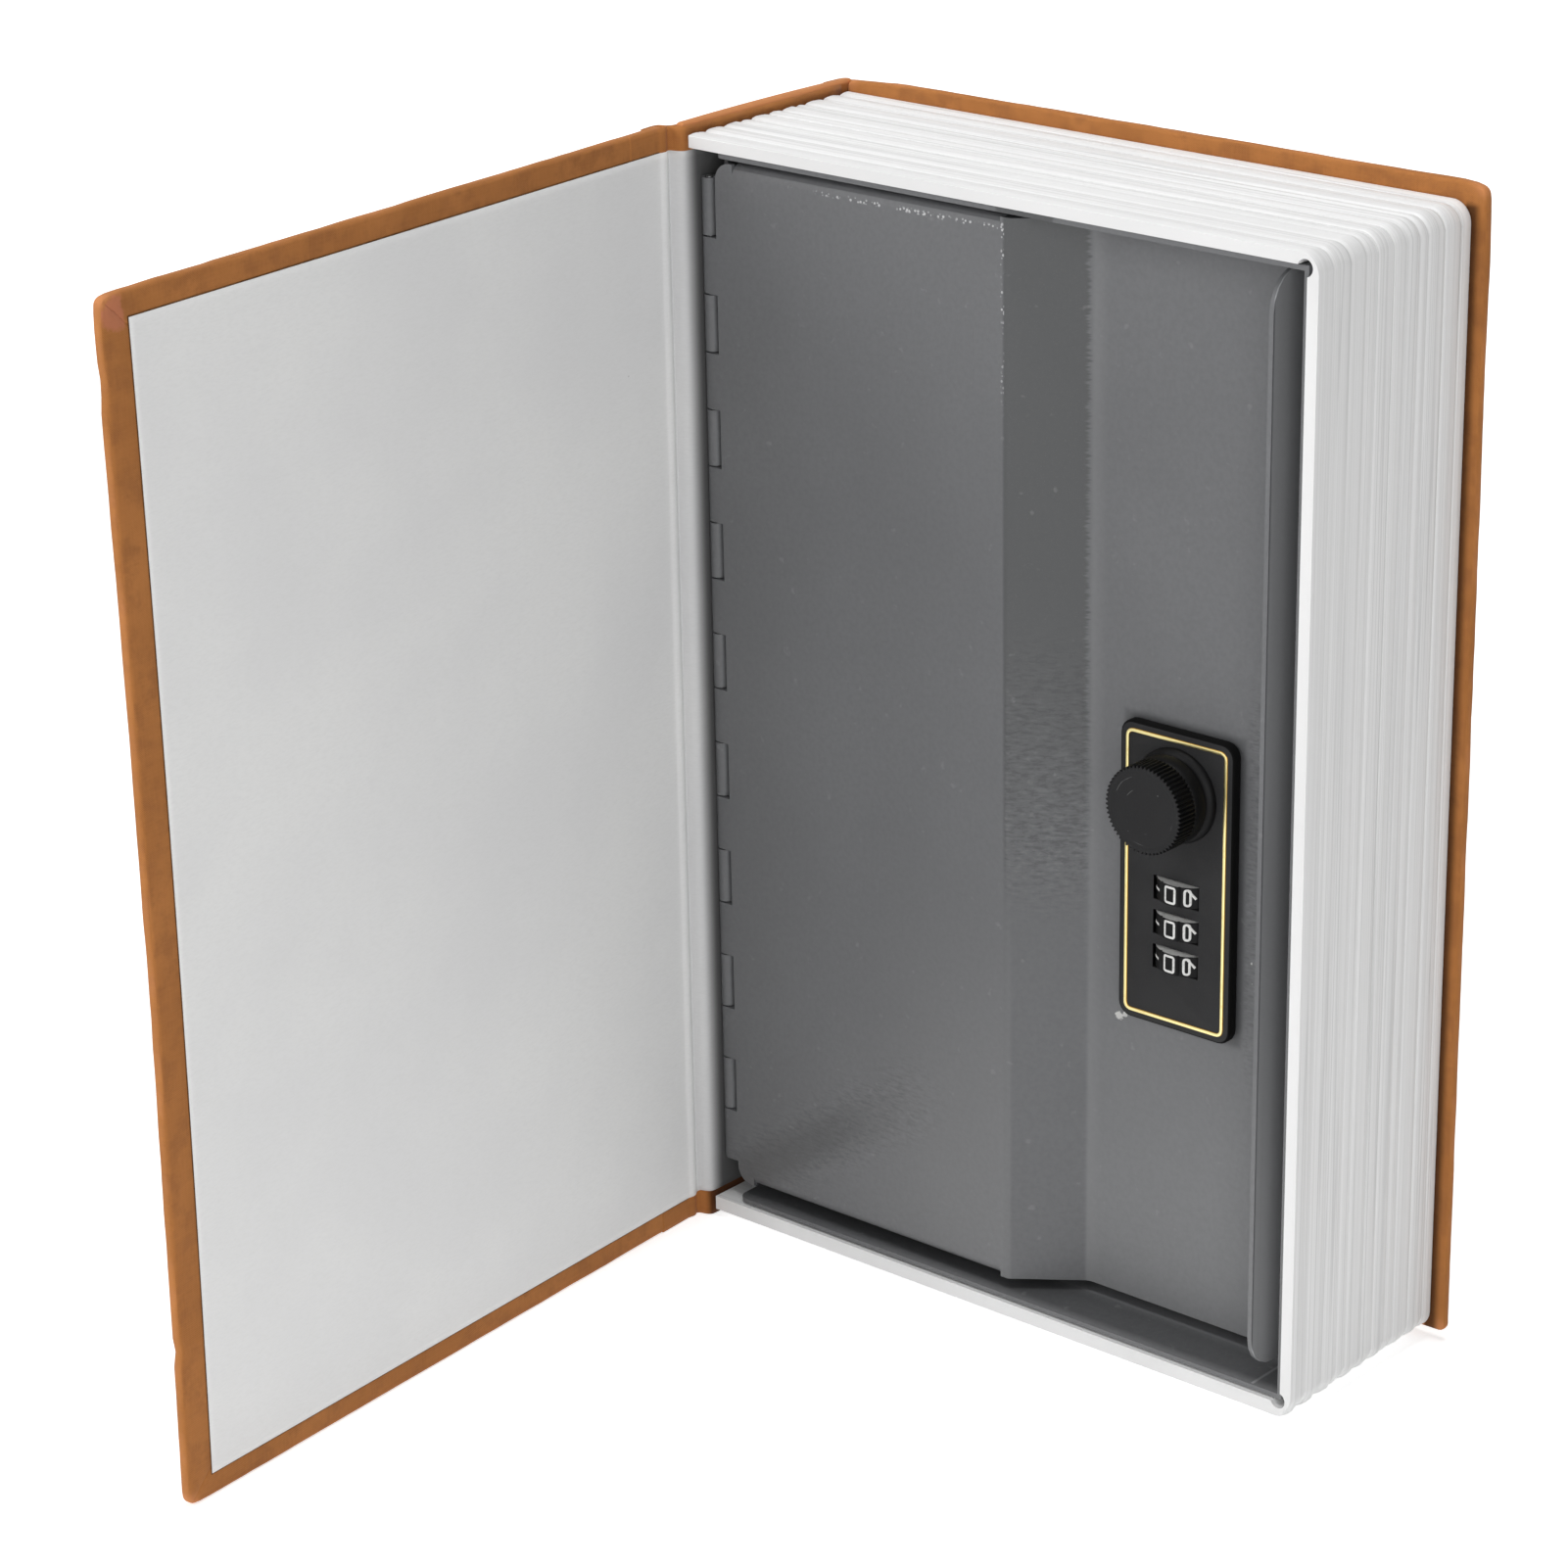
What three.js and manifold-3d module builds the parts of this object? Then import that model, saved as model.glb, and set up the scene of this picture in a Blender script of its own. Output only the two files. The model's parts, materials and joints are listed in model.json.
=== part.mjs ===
// A book safe: a steel box with a hinged door and a combination lock, inside the case of a hardback.
// Lengths are millimetres. +Z is up, the book stands on its tail, the spine is toward -X,
// and the front cover and the steel door both open toward -Y.

import * as THREE from 'three';
import { mergeVertices } from 'three/addons/utils/BufferGeometryUtils.js';
import Module from 'manifold-3d';

const wasm = await Module();
wasm.setup();

// Page block: a white moulded frame round head, fore edge and tail, open at the spine
const BLOCK_WIDTH = 151.1;
const BLOCK_DEPTH = 48.8;
const BLOCK_HEIGHT = 234;
const FRAME_WALL = 2.7;
const FRAME_CORNER_RADIUS = 4.2;
const RELIEF_RADIUS = 1.7;
const RELIEF_INSET = 0.5;
const GROOVE_DEPTH = 0.75;
const GROOVE_HALF_WIDTH = 0.9;
const BUNDLE_CROWN = 0.2;
const GROOVE_PLACE_SHARES = [0.105, 0.215, 0.381, 0.492, 0.572, 0.719, 0.832, 0.939];

// Case: cloth-covered boards with paper inside
const BOARD_THICKNESS = 2.2;
const BOARD_EDGE_RADIUS = 0.5;
const BOARD_CORNER_RADIUS = 1.2;
const FORE_EDGE_SQUARE = 2.5;
const TAIL_SQUARE = 2;
const GLUE_GAP = 0.1;
const SPINE_THICKNESS = 2.2;
const SPINE_GAP = 1.2;
const SPINE_BULGE = 1;
const SPINE_SETBACK = 0.3;
const SPINE_CREASE = 0.3;
const PAPER_THICKNESS = 0.25;
const CLOTH_THICKNESS = 0.5;
const COVER_GAP = 1.5;
const JOINT_OUTSET = 0.4;
const JOINT_SLACK = 0.8;
const COVER_OPEN_DEGREES = 86.2;
const TURN_IN_SIDE = 6.9;
const TURN_IN_END = 4.9;

// Steel box: folded sheet, open at the front
const SHEET = 1;
const BOX_CLEARANCE = 0.3;
const BOX_LEFT = 1.6;
const BOX_FRONT = 1;
const HINGE_CUT_WIDTH = 3.9;
const HINGE_CUT_DEPTH = 7.6;
const HINGE_CUT_RADIUS = 2.4;

// Hinge: knuckles rolled from the sheets of box and door in turn, on one long pin
const KNUCKLE_COUNT = 18;
const BARREL_RADIUS = 1.6;
const BARREL_BORE_RADIUS = 0.95;
const PIN_RADIUS = 0.7;
const KNUCKLE_GAP = 0.3;
const KNUCKLE_SLOT_DEPTH = 2.4;
const BARREL_TOP_MARGIN = 3.5;
const BARREL_TAIL_MARGIN = 4.5;

// Door: one folded sheet with a high flat, a slope, a recess for the lock and a pull flange
const DOOR_FACE = 3.2;
const DOOR_GAP_TOP = 1.5;
const DOOR_GAP_TAIL = 2.3;
const DOOR_EDGE_GAP = 1.2;
const RECESS_WIDTH = 48.6;
const SLOPE_WIDTH = 13.4;
const RECESS_DEPTH = 9.8;
const FINGER_GAP = 6.5;
const CREST_BEND_RADIUS = 1.8;
const FOOT_BEND_RADIUS = 3;
const FLANGE_BEND_RADIUS = 1.2;
const FLANGE_CORNER_RADIUS = 7.5;
const DOOR_CORNER_RADIUS = 3.8;
const RETURN_DEPTH = 9;
const RETURN_BEND_RADIUS = 2;
const RETURN_SETBACK = 4.5;

// Lock plate with its gilt line
const LOCK_TO_FLANGE = 26.1;
const LOCK_HEIGHT = 100.75;
const PLATE_WIDTH = 27.3;
const PLATE_HEIGHT = 62.5;
const PLATE_THICKNESS = 2.6;
const PLATE_RADIUS = 3;
const PLATE_EDGE_RADIUS = 0.6;
const TRIM_INSET = 1.4;
const TRIM_WIDTH = 1;
const TRIM_HEIGHT = 0.15;

// Combination wheels, turning on one upright axle behind windows in the plate
const DIGIT_COUNT = 10;
const WHEEL_RADIUS = 7;
const WHEEL_THICKNESS = 4.3;
const WHEEL_PROUD = 1.7;
const WHEEL_EDGE = 0.25;
const WHEEL_NOTCH = 0.3;
const WHEEL_PLACE_SHARES = [-0.032, -0.148, -0.264];
const WHEELS_RIGHT_OF_MIDDLE = 0.35;
const WINDOW_WIDTH = 10.8;
const WINDOW_HEIGHT = 4.9;
const AXLE_RADIUS = 1.2;
const AXLE_END = 2.2;

// Knob, spindle and cam
const COLLAR_TO_TRIM = 0.9;
const KNOB_RADIUS = 9;
const KNOB_PROUD = 10.7;
const KNOB_TEETH = 60;
const KNURL_DEPTH = 0.35;
const KNURL_LENGTH = 5.2;
const KNOB_EDGE = 0.4;
const KNOB_NECK_RADIUS = 8.3;
const COLLAR_RADIUS = 9.7;
const COLLAR_HEIGHT = 2;
const COLLAR_RIM = 0.6;
const SPINDLE_RADIUS = 3;
const SPINDLE_FLATS = 4.6;
const SPINDLE_SEAT = 6;
const CAM_HUB_RADIUS = 7;
const CAM_WIDTH = 11;
const CAM_LENGTH = 29;
const CAM_THICKNESS = 1.5;
const CAM_TIP_RADIUS = 2.5;
const CAM_STANDOFF = 1.6;
const WASHER_RADIUS = 5.5;
const WASHER_THICKNESS = 0.8;
const CAM_SCREW_RADIUS = 1.5;
const CAM_SCREW_HEAD_RADIUS = 3;
const CAM_SCREW_HEAD = 2;
const CAM_SCREW_REACH = 6;

// Lock body behind the door, its screws, and the strike on the box wall
const BODY_WIDTH = 18.8;
const BODY_DEPTH = 11.4;
const BODY_RADIUS = 1.5;
const BODY_EDGE_RADIUS = 0.8;
const PLATE_SCREW_INSET = 3.2;
const PLATE_SCREW_RADIUS = 1.2;
const PLATE_SCREW_HEAD_RADIUS = 2.2;
const PLATE_SCREW_HEAD = 1.3;
const PLATE_SCREW_BITE = 1.6;
const BODY_TO_SCREW_HEAD = 1.85;
const STRIKE_THICKNESS = 1.2;
const STRIKE_LIP = 8;
const STRIKE_LEG = 12;
const STRIKE_HEIGHT = 22;
const STRIKE_BEND_RADIUS = 1;
const STRIKE_CLEARANCE = 0.7;

// Clearances between pieces that fit together, and the overrun of every cut
const SEAT_GAP = 0.1;
const FIT_GAP = 0.3;
const OVERRUN = 5;

// Steps in round outlines
const ROUND_STEPS = 20;
const SMALL_ROUND_STEPS = 12;
const CORNER_STEPS = 5;
const BEND_STEPS = 5;
const RELIEF_STEPS = 8;
const EDGE_STEPS = 2;
const BULGE_STEPS = 10;
const DIGIT_FIELD_STEPS = 2;

// Places worked out from the sizes above; the block's own tail is at height zero
const BOARD_FORE_EDGE = BLOCK_WIDTH + FORE_EDGE_SQUARE;
const BOOK_HEIGHT = BLOCK_HEIGHT + 2 * TAIL_SQUARE;
const BACK_BOARD_FRONT = BLOCK_DEPTH + GLUE_GAP;
const BACK_BOARD_BACK = BACK_BOARD_FRONT + BOARD_THICKNESS;
const BACK_BOARD_LEFT = SPINE_CREASE - SPINE_GAP;
const COVER_JOINT_X = -(SPINE_GAP + SPINE_THICKNESS + JOINT_OUTSET);
const COVER_JOINT_Y = -COVER_GAP;
const BOX_RIGHT = BLOCK_WIDTH - FRAME_WALL - BOX_CLEARANCE;
const BOX_BACK = BLOCK_DEPTH - BOX_CLEARANCE;
const BOX_TAIL = FRAME_WALL + BOX_CLEARANCE;
const BOX_TOP = BLOCK_HEIGHT - FRAME_WALL - BOX_CLEARANCE;
const HINGE_X = BOX_LEFT + SHEET - BARREL_RADIUS;
const HINGE_Y = DOOR_FACE + BARREL_RADIUS;
const DOOR_TOP = BOX_TOP - SHEET - DOOR_GAP_TOP;
const DOOR_TAIL = BOX_TAIL + SHEET + DOOR_GAP_TAIL;
const DOOR_LEFT = HINGE_X + BARREL_RADIUS + DOOR_EDGE_GAP;
const RECESS_FACE = DOOR_FACE + RECESS_DEPTH;
const FLANGE_OUTER_X = BOX_RIGHT - SHEET - FINGER_GAP;
const FLANGE_INNER_X = FLANGE_OUTER_X - SHEET;
const SLOPE_FOOT_X = FLANGE_INNER_X - RECESS_WIDTH;
const SLOPE_CREST_X = SLOPE_FOOT_X - SLOPE_WIDTH;
const BARREL_TOP = DOOR_TOP - BARREL_TOP_MARGIN;
const BARREL_TAIL = DOOR_TAIL + BARREL_TAIL_MARGIN;
const KNUCKLE_PITCH = (BARREL_TOP - BARREL_TAIL) / KNUCKLE_COUNT;
const LOCK_X = FLANGE_INNER_X - LOCK_TO_FLANGE;
const PLATE_BACK = RECESS_FACE - SEAT_GAP;
const PLATE_FRONT = PLATE_BACK - PLATE_THICKNESS;
const KNOB_TO_PLATE_END = TRIM_INSET + TRIM_WIDTH + COLLAR_TO_TRIM + COLLAR_RADIUS;
const KNOB_Z = LOCK_HEIGHT + PLATE_HEIGHT / 2 - KNOB_TO_PLATE_END;
const WHEEL_X = LOCK_X + WHEELS_RIGHT_OF_MIDDLE;
const WHEEL_COUNT = WHEEL_PLACE_SHARES.length;
const WHEEL_Y = PLATE_FRONT - WHEEL_PROUD + WHEEL_RADIUS;
const BODY_HEIGHT = PLATE_HEIGHT - 2 * (PLATE_SCREW_INSET + PLATE_SCREW_HEAD_RADIUS + BODY_TO_SCREW_HEAD);
const BODY_FRONT = RECESS_FACE;
const BODY_BACK = BODY_FRONT + BODY_DEPTH;
const CAM_FRONT = BODY_BACK + CAM_STANDOFF;
const CAM_BACK = CAM_FRONT + CAM_THICKNESS;
const STRIKE_BACK = CAM_FRONT - STRIKE_CLEARANCE;

// Finishes
const cloth = { color: 0xae6a33, roughness: 0.85, metalness: 0 };
const paper = { color: 0xdcdcda, roughness: 0.8, metalness: 0 };
const moulding = { color: 0xf2f2f0, roughness: 0.45, metalness: 0 };
const greyCoat = { color: 0x6f7072, roughness: 0.42, metalness: 0.2 };
const zincPlate = { color: 0xb8bcc0, roughness: 0.35, metalness: 0.9 };
const blackCoat = { color: 0x2b2b2c, roughness: 0.4, metalness: 0.1 };
const blackPlastic = { color: 0x1d1d1e, roughness: 0.5, metalness: 0 };
const gilt = { color: 0xd9b85a, roughness: 0.3, metalness: 1 };

// A named piece in its own finish
function piece(name, geometry, finish) {
  const mesh = new THREE.Mesh(geometry, new THREE.MeshStandardMaterial(finish));
  mesh.name = name;
  return mesh;
}

// A closed geometry made ready for joining and cutting
function solidOf(geometry) {
  const bare = geometry.clone();
  bare.deleteAttribute('normal');
  bare.deleteAttribute('uv');
  const merged = mergeVertices(bare);
  const vertProperties = new Float32Array(merged.attributes.position.array);
  const triVerts = new Uint32Array(merged.index.array);
  return new wasm.Manifold(new wasm.Mesh({ numProp: 3, vertProperties, triVerts }));
}

// The geometry of a joined or cut solid
function geometryOf(solid) {
  const mesh = solid.getMesh();
  const geometry = new THREE.BufferGeometry();
  geometry.setAttribute('position', new THREE.BufferAttribute(mesh.vertProperties, 3));
  geometry.setIndex(new THREE.BufferAttribute(mesh.triVerts, 1));
  geometry.computeVertexNormals();
  return geometry;
}

// A first geometry with others joined on and then others cut away
function carved(base, added, removed) {
  let solid = solidOf(base);
  added.forEach((extra) => {
    solid = solid.add(solidOf(extra));
  });
  removed.forEach((cut) => {
    solid = solid.subtract(solidOf(cut));
  });
  return geometryOf(solid);
}

// A box between two corners
function block(low, high) {
  const geometry = new THREE.BoxGeometry(high[0] - low[0], high[1] - low[1], high[2] - low[2]);
  return geometry.translate((low[0] + high[0]) / 2, (low[1] + high[1]) / 2, (low[2] + high[2]) / 2);
}

// An upright rod between two heights
function uprightRod(x, y, radius, low, high, steps) {
  const geometry = new THREE.CylinderGeometry(radius, radius, high - low, steps);
  return geometry.rotateX(Math.PI / 2).translate(x, y, (low + high) / 2);
}

// A rod from front to back
function levelRod(x, z, radius, front, back, steps) {
  const geometry = new THREE.CylinderGeometry(radius, radius, back - front, steps);
  return geometry.translate(x, (front + back) / 2, z);
}

// An outline drawn in plan, drawn up between two heights
function upright(outline, low, high) {
  const geometry = new THREE.ExtrudeGeometry(new THREE.Shape(outline), {
    depth: high - low,
    bevelEnabled: false,
  });
  return geometry.translate(0, 0, low);
}

// An outline drawn in (x, z), drawn out from front to back
function level(outline, front, back) {
  const geometry = new THREE.ExtrudeGeometry(new THREE.Shape(outline), {
    depth: back - front,
    bevelEnabled: false,
  });
  return geometry.rotateX(Math.PI / 2).translate(0, back, 0);
}

// An outline drawn in (y, z), drawn out from left to right
function sideways(outline, left, right) {
  const geometry = new THREE.ExtrudeGeometry(new THREE.Shape(outline), {
    depth: right - left,
    bevelEnabled: false,
  });
  const turn = new THREE.Matrix4().set(0, 0, 1, 0, 1, 0, 0, 0, 0, 1, 0, 0, 0, 0, 0, 1);
  return geometry.applyMatrix4(turn).translate(left, 0, 0);
}

// Points of a circular arc
function arc(x, y, radius, from, to, steps) {
  const points = [];
  for (let i = 0; i <= steps; i += 1) {
    const angle = from + ((to - from) * i) / steps;
    points.push(new THREE.Vector2(x + radius * Math.cos(angle), y + radius * Math.sin(angle)));
  }
  return points;
}

// The outline of a rectangle with round corners
function roundedRectangle(left, bottom, right, top, radius) {
  const quarter = Math.PI / 2;
  return [
    ...arc(right - radius, bottom + radius, radius, -quarter, 0, CORNER_STEPS),
    ...arc(right - radius, top - radius, radius, 0, quarter, CORNER_STEPS),
    ...arc(left + radius, top - radius, radius, quarter, 2 * quarter, CORNER_STEPS),
    ...arc(left + radius, bottom + radius, radius, 2 * quarter, 3 * quarter, CORNER_STEPS),
  ];
}

// A line through corners given as [x, y, bend radius], with each bend drawn as an arc
function bentLine(corners) {
  const points = [];
  corners.forEach(([x, y, radius], index) => {
    const here = new THREE.Vector2(x, y);
    const isEnd = index === 0 || index === corners.length - 1;
    if (isEnd || radius === 0) {
      points.push(here);
      return;
    }
    const [beforeX, beforeY] = corners[index - 1];
    const [afterX, afterY] = corners[index + 1];
    const before = new THREE.Vector2(beforeX, beforeY).sub(here).normalize();
    const after = new THREE.Vector2(afterX, afterY).sub(here).normalize();
    const half = Math.acos(THREE.MathUtils.clamp(before.dot(after), -1, 1)) / 2;
    const middle = before.clone().add(after).normalize();
    const centre = middle.multiplyScalar(radius / Math.sin(half)).add(here);
    const start = here.clone().addScaledVector(before, radius / Math.tan(half));
    const end = here.clone().addScaledVector(after, radius / Math.tan(half));
    const from = start.clone().sub(centre).angle();
    let turn = end.clone().sub(centre).angle() - from;
    turn -= 2 * Math.PI * Math.round(turn / (2 * Math.PI));
    points.push(...arc(centre.x, centre.y, radius, from, from + turn, BEND_STEPS));
  });
  return points;
}

// The outline of sheet metal whose middle follows a line
function sheetOutline(line, thickness) {
  const left = [];
  const right = [];
  line.forEach((point, index) => {
    const back = line[Math.max(index - 1, 0)];
    const next = line[Math.min(index + 1, line.length - 1)];
    const arriving = index === 0 ? next.clone().sub(point) : point.clone().sub(back);
    const leaving = index === line.length - 1 ? arriving.clone() : next.clone().sub(point);
    const along = arriving.normalize().add(leaving.normalize()).normalize();
    const stretch = 1 / along.dot(leaving);
    const across = new THREE.Vector2(-along.y, along.x).multiplyScalar((thickness / 2) * stretch);
    left.push(point.clone().add(across));
    right.unshift(point.clone().sub(across));
  });
  return [...left, ...right];
}

// A closed skin through rings of equal point counts, with flat ends.
// Each ring is {outline, y}: an outline in (x, z) and its place from front to back.
function stackedRings(rings) {
  const count = rings[0].outline.length;
  const positions = [];
  const index = [];
  rings.forEach(({ outline, y }) => {
    outline.forEach((point) => positions.push(point.x, y, point.y));
  });
  for (let ring = 0; ring < rings.length - 1; ring += 1) {
    for (let i = 0; i < count; i += 1) {
      const a = ring * count + i;
      const b = ring * count + ((i + 1) % count);
      index.push(a, b, b + count, a, b + count, a + count);
    }
  }
  const last = (rings.length - 1) * count;
  THREE.ShapeUtils.triangulateShape(rings[0].outline, []).forEach(([a, b, c]) => {
    index.push(a, c, b);
  });
  THREE.ShapeUtils.triangulateShape(rings[rings.length - 1].outline, []).forEach(([a, b, c]) => {
    index.push(last + a, last + b, last + c);
  });
  if (THREE.ShapeUtils.area(rings[0].outline) > 0) {
    index.reverse();
  }
  const geometry = new THREE.BufferGeometry();
  geometry.setAttribute('position', new THREE.Float32BufferAttribute(positions, 3));
  geometry.setIndex(index);
  geometry.computeVertexNormals();
  return geometry;
}

// A slab with round corners and softened front and back edges
function softSlab(left, bottom, right, top, front, back, cornerRadius, edgeRadius) {
  const rings = [];
  const addRing = (inset, y) => {
    const radius = cornerRadius - inset;
    const outline = roundedRectangle(left + inset, bottom + inset, right - inset, top - inset, radius);
    rings.push({ outline, y });
  };
  for (let i = 0; i <= EDGE_STEPS; i += 1) {
    const angle = (Math.PI / 2) * (i / EDGE_STEPS);
    addRing(edgeRadius * (1 - Math.sin(angle)), front + edgeRadius * (1 - Math.cos(angle)));
  }
  for (let i = EDGE_STEPS; i >= 0; i -= 1) {
    const angle = (Math.PI / 2) * (i / EDGE_STEPS);
    addRing(edgeRadius * (1 - Math.sin(angle)), back - edgeRadius * (1 - Math.cos(angle)));
  }
  return stackedRings(rings);
}

// Page block frame: the outline of its three walls, with the outside drawn in by an inset
function frameOutline(inset) {
  const quarter = Math.PI / 2;
  const cornerX = BLOCK_WIDTH - FRAME_CORNER_RADIUS;
  const cornerZ = FRAME_CORNER_RADIUS;
  const cornerTopZ = BLOCK_HEIGHT - FRAME_CORNER_RADIUS;
  const radius = FRAME_CORNER_RADIUS - inset;
  const reliefX = BLOCK_WIDTH - FRAME_WALL - RELIEF_INSET;
  const reliefZ = FRAME_WALL + RELIEF_INSET;
  const reliefTopZ = BLOCK_HEIGHT - reliefZ;
  const lip = Math.asin(RELIEF_INSET / RELIEF_RADIUS);
  return [
    new THREE.Vector2(0, inset),
    ...arc(cornerX, cornerZ, radius, -quarter, 0, CORNER_STEPS),
    ...arc(cornerX, cornerTopZ, radius, 0, quarter, CORNER_STEPS),
    new THREE.Vector2(0, BLOCK_HEIGHT - inset),
    new THREE.Vector2(0, BLOCK_HEIGHT - FRAME_WALL),
    ...arc(reliefX, reliefTopZ, RELIEF_RADIUS, 2 * quarter - lip, lip - quarter, RELIEF_STEPS),
    ...arc(reliefX, reliefZ, RELIEF_RADIUS, quarter - lip, lip - 2 * quarter, RELIEF_STEPS),
    new THREE.Vector2(0, FRAME_WALL),
  ];
}

// Page block frame: uneven bundles of pages, each crowned, with a groove between neighbours
function makePageFrame() {
  const rings = [];
  let bundleStart = 0;
  const addBundle = (bundleEnd, startInset, endInset) => {
    rings.push({ outline: frameOutline(startInset), y: bundleStart });
    rings.push({ outline: frameOutline(0), y: (bundleStart + bundleEnd) / 2 });
    rings.push({ outline: frameOutline(endInset), y: bundleEnd });
  };
  GROOVE_PLACE_SHARES.forEach((share, index) => {
    const groove = share * BLOCK_DEPTH;
    addBundle(groove - GROOVE_HALF_WIDTH, index === 0 ? 0 : BUNDLE_CROWN, BUNDLE_CROWN);
    rings.push({ outline: frameOutline(GROOVE_DEPTH), y: groove });
    bundleStart = groove + GROOVE_HALF_WIDTH;
  });
  addBundle(BLOCK_DEPTH, BUNDLE_CROWN, BUNDLE_CROWN);
  return piece('page_frame', stackedRings(rings), moulding);
}

// Back board, standing on its tail edge behind the page block
function makeBackBoard() {
  const slab = softSlab(
    BACK_BOARD_LEFT, 0, BOARD_FORE_EDGE, BOOK_HEIGHT,
    BACK_BOARD_FRONT, BACK_BOARD_BACK, BOARD_CORNER_RADIUS, BOARD_EDGE_RADIUS,
  );
  return piece('back_board', slab, cloth);
}

// Spine board, bulging outward between its two edges
function makeSpineBoard() {
  const inner = -SPINE_GAP;
  const front = -SPINE_SETBACK;
  const outline = [
    new THREE.Vector2(inner, front),
    new THREE.Vector2(inner, BACK_BOARD_BACK),
  ];
  for (let i = BULGE_STEPS; i >= 0; i -= 1) {
    const share = i / BULGE_STEPS;
    const bulge = SPINE_BULGE * Math.sin(Math.PI * share);
    const y = front + (BACK_BOARD_BACK - front) * share;
    outline.push(new THREE.Vector2(inner - SPINE_THICKNESS - bulge, y));
  }
  return piece('spine_board', upright(outline, 0, BOOK_HEIGHT), cloth);
}

// Paper lining on the inside of the spine
function makeSpineLining() {
  const right = -SPINE_GAP + GLUE_GAP + PAPER_THICKNESS;
  const low = [right - PAPER_THICKNESS, -SPINE_SETBACK, TURN_IN_END];
  const high = [right, BACK_BOARD_FRONT - GLUE_GAP, BOOK_HEIGHT - TURN_IN_END];
  return piece('spine_lining', block(low, high), paper);
}

// Cloth strip along the front joint, glued under the spine's front edge and ending at the fold
function makeJointCloth() {
  const seatY = -SPINE_SETBACK - GLUE_GAP - CLOTH_THICKNESS / 2;
  const line = bentLine([
    [COVER_JOINT_X, COVER_JOINT_Y, 0],
    [-SPINE_GAP - SPINE_THICKNESS, seatY, CLOTH_THICKNESS],
    [-SPINE_GAP - GLUE_GAP, seatY, 0],
  ]);
  return piece('joint_cloth', upright(sheetOutline(line, CLOTH_THICKNESS), 0, BOOK_HEIGHT), cloth);
}

// Front board and its pasted-down paper, built lying closed with the fold at the group's origin
function makeCover() {
  const coverLength = BOARD_FORE_EDGE - COVER_JOINT_X;
  const boardBack = -PAPER_THICKNESS - GLUE_GAP;
  const board = softSlab(
    JOINT_SLACK, 0, coverLength, BOOK_HEIGHT,
    boardBack - BOARD_THICKNESS, boardBack, BOARD_CORNER_RADIUS, BOARD_EDGE_RADIUS,
  );
  const paperLow = [JOINT_SLACK + GLUE_GAP, -PAPER_THICKNESS, TURN_IN_END];
  const paperHigh = [coverLength - TURN_IN_SIDE, 0, BOOK_HEIGHT - TURN_IN_END];
  const cover = new THREE.Group();
  cover.add(piece('front_board', board, cloth));
  cover.add(piece('front_endpaper', block(paperLow, paperHigh), paper));
  cover.position.set(COVER_JOINT_X, COVER_JOINT_Y, 0);
  cover.rotation.z = -THREE.MathUtils.degToRad(COVER_OPEN_DEGREES);
  return cover;
}

// Heights of the ends of one knuckle, counted from the top
function knuckleSpan(index) {
  const top = BARREL_TOP - index * KNUCKLE_PITCH;
  return [top - KNUCKLE_PITCH + KNUCKLE_GAP / 2, top - KNUCKLE_GAP / 2];
}

// Rolled barrels of every second knuckle
function barrels(first) {
  const rolled = [];
  for (let index = first; index < KNUCKLE_COUNT; index += 2) {
    const [low, high] = knuckleSpan(index);
    rolled.push(uprightRod(HINGE_X, HINGE_Y, BARREL_RADIUS, low, high, ROUND_STEPS));
  }
  return rolled;
}

// The bore through a row of knuckles
function barrelBore() {
  const low = BARREL_TAIL - OVERRUN;
  return uprightRod(HINGE_X, HINGE_Y, BARREL_BORE_RADIUS, low, BARREL_TOP + OVERRUN, SMALL_ROUND_STEPS);
}

// Steel box: head, tail, fore edge and back walls, and a spine wall that ends in knuckles
function makeBoxShell() {
  const cutX = BOX_LEFT + HINGE_CUT_WIDTH;
  const cutY = BOX_FRONT + HINGE_CUT_DEPTH;
  const plan = bentLine([
    [BOX_LEFT, BOX_BACK, 0],
    [BOX_LEFT, cutY, 0],
    [cutX, cutY, HINGE_CUT_RADIUS / 2],
    [cutX, BOX_FRONT, HINGE_CUT_RADIUS],
    [BOX_RIGHT, BOX_FRONT, 0],
    [BOX_RIGHT, BOX_BACK, 0],
  ]);
  const inner = BOX_LEFT + SHEET;
  const hollow = block(
    [inner, BOX_FRONT - OVERRUN, BOX_TAIL + SHEET],
    [BOX_RIGHT - SHEET, BOX_BACK - SHEET, BOX_TOP - SHEET],
  );
  const spineWall = block([BOX_LEFT, HINGE_Y, BARREL_TAIL], [inner, BOX_BACK, BARREL_TOP]);
  const slots = [barrelBore()];
  for (let index = 1; index < KNUCKLE_COUNT; index += 2) {
    const [low, high] = knuckleSpan(index);
    slots.push(block(
      [BOX_LEFT - OVERRUN, HINGE_Y - OVERRUN, low - KNUCKLE_GAP],
      [inner + OVERRUN, HINGE_Y + KNUCKLE_SLOT_DEPTH, high + KNUCKLE_GAP],
    ));
  }
  const hollowed = carved(upright(plan, BOX_TAIL, BOX_TOP), [], [hollow]);
  return piece('box_shell', carved(hollowed, [spineWall, ...barrels(0)], slots), greyCoat);
}

// Hinge pin through all the knuckles
function makeHingePin() {
  const rod = uprightRod(HINGE_X, HINGE_Y, PIN_RADIUS, BARREL_TAIL, BARREL_TOP, SMALL_ROUND_STEPS);
  return piece('hinge_pin', rod, zincPlate);
}

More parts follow.
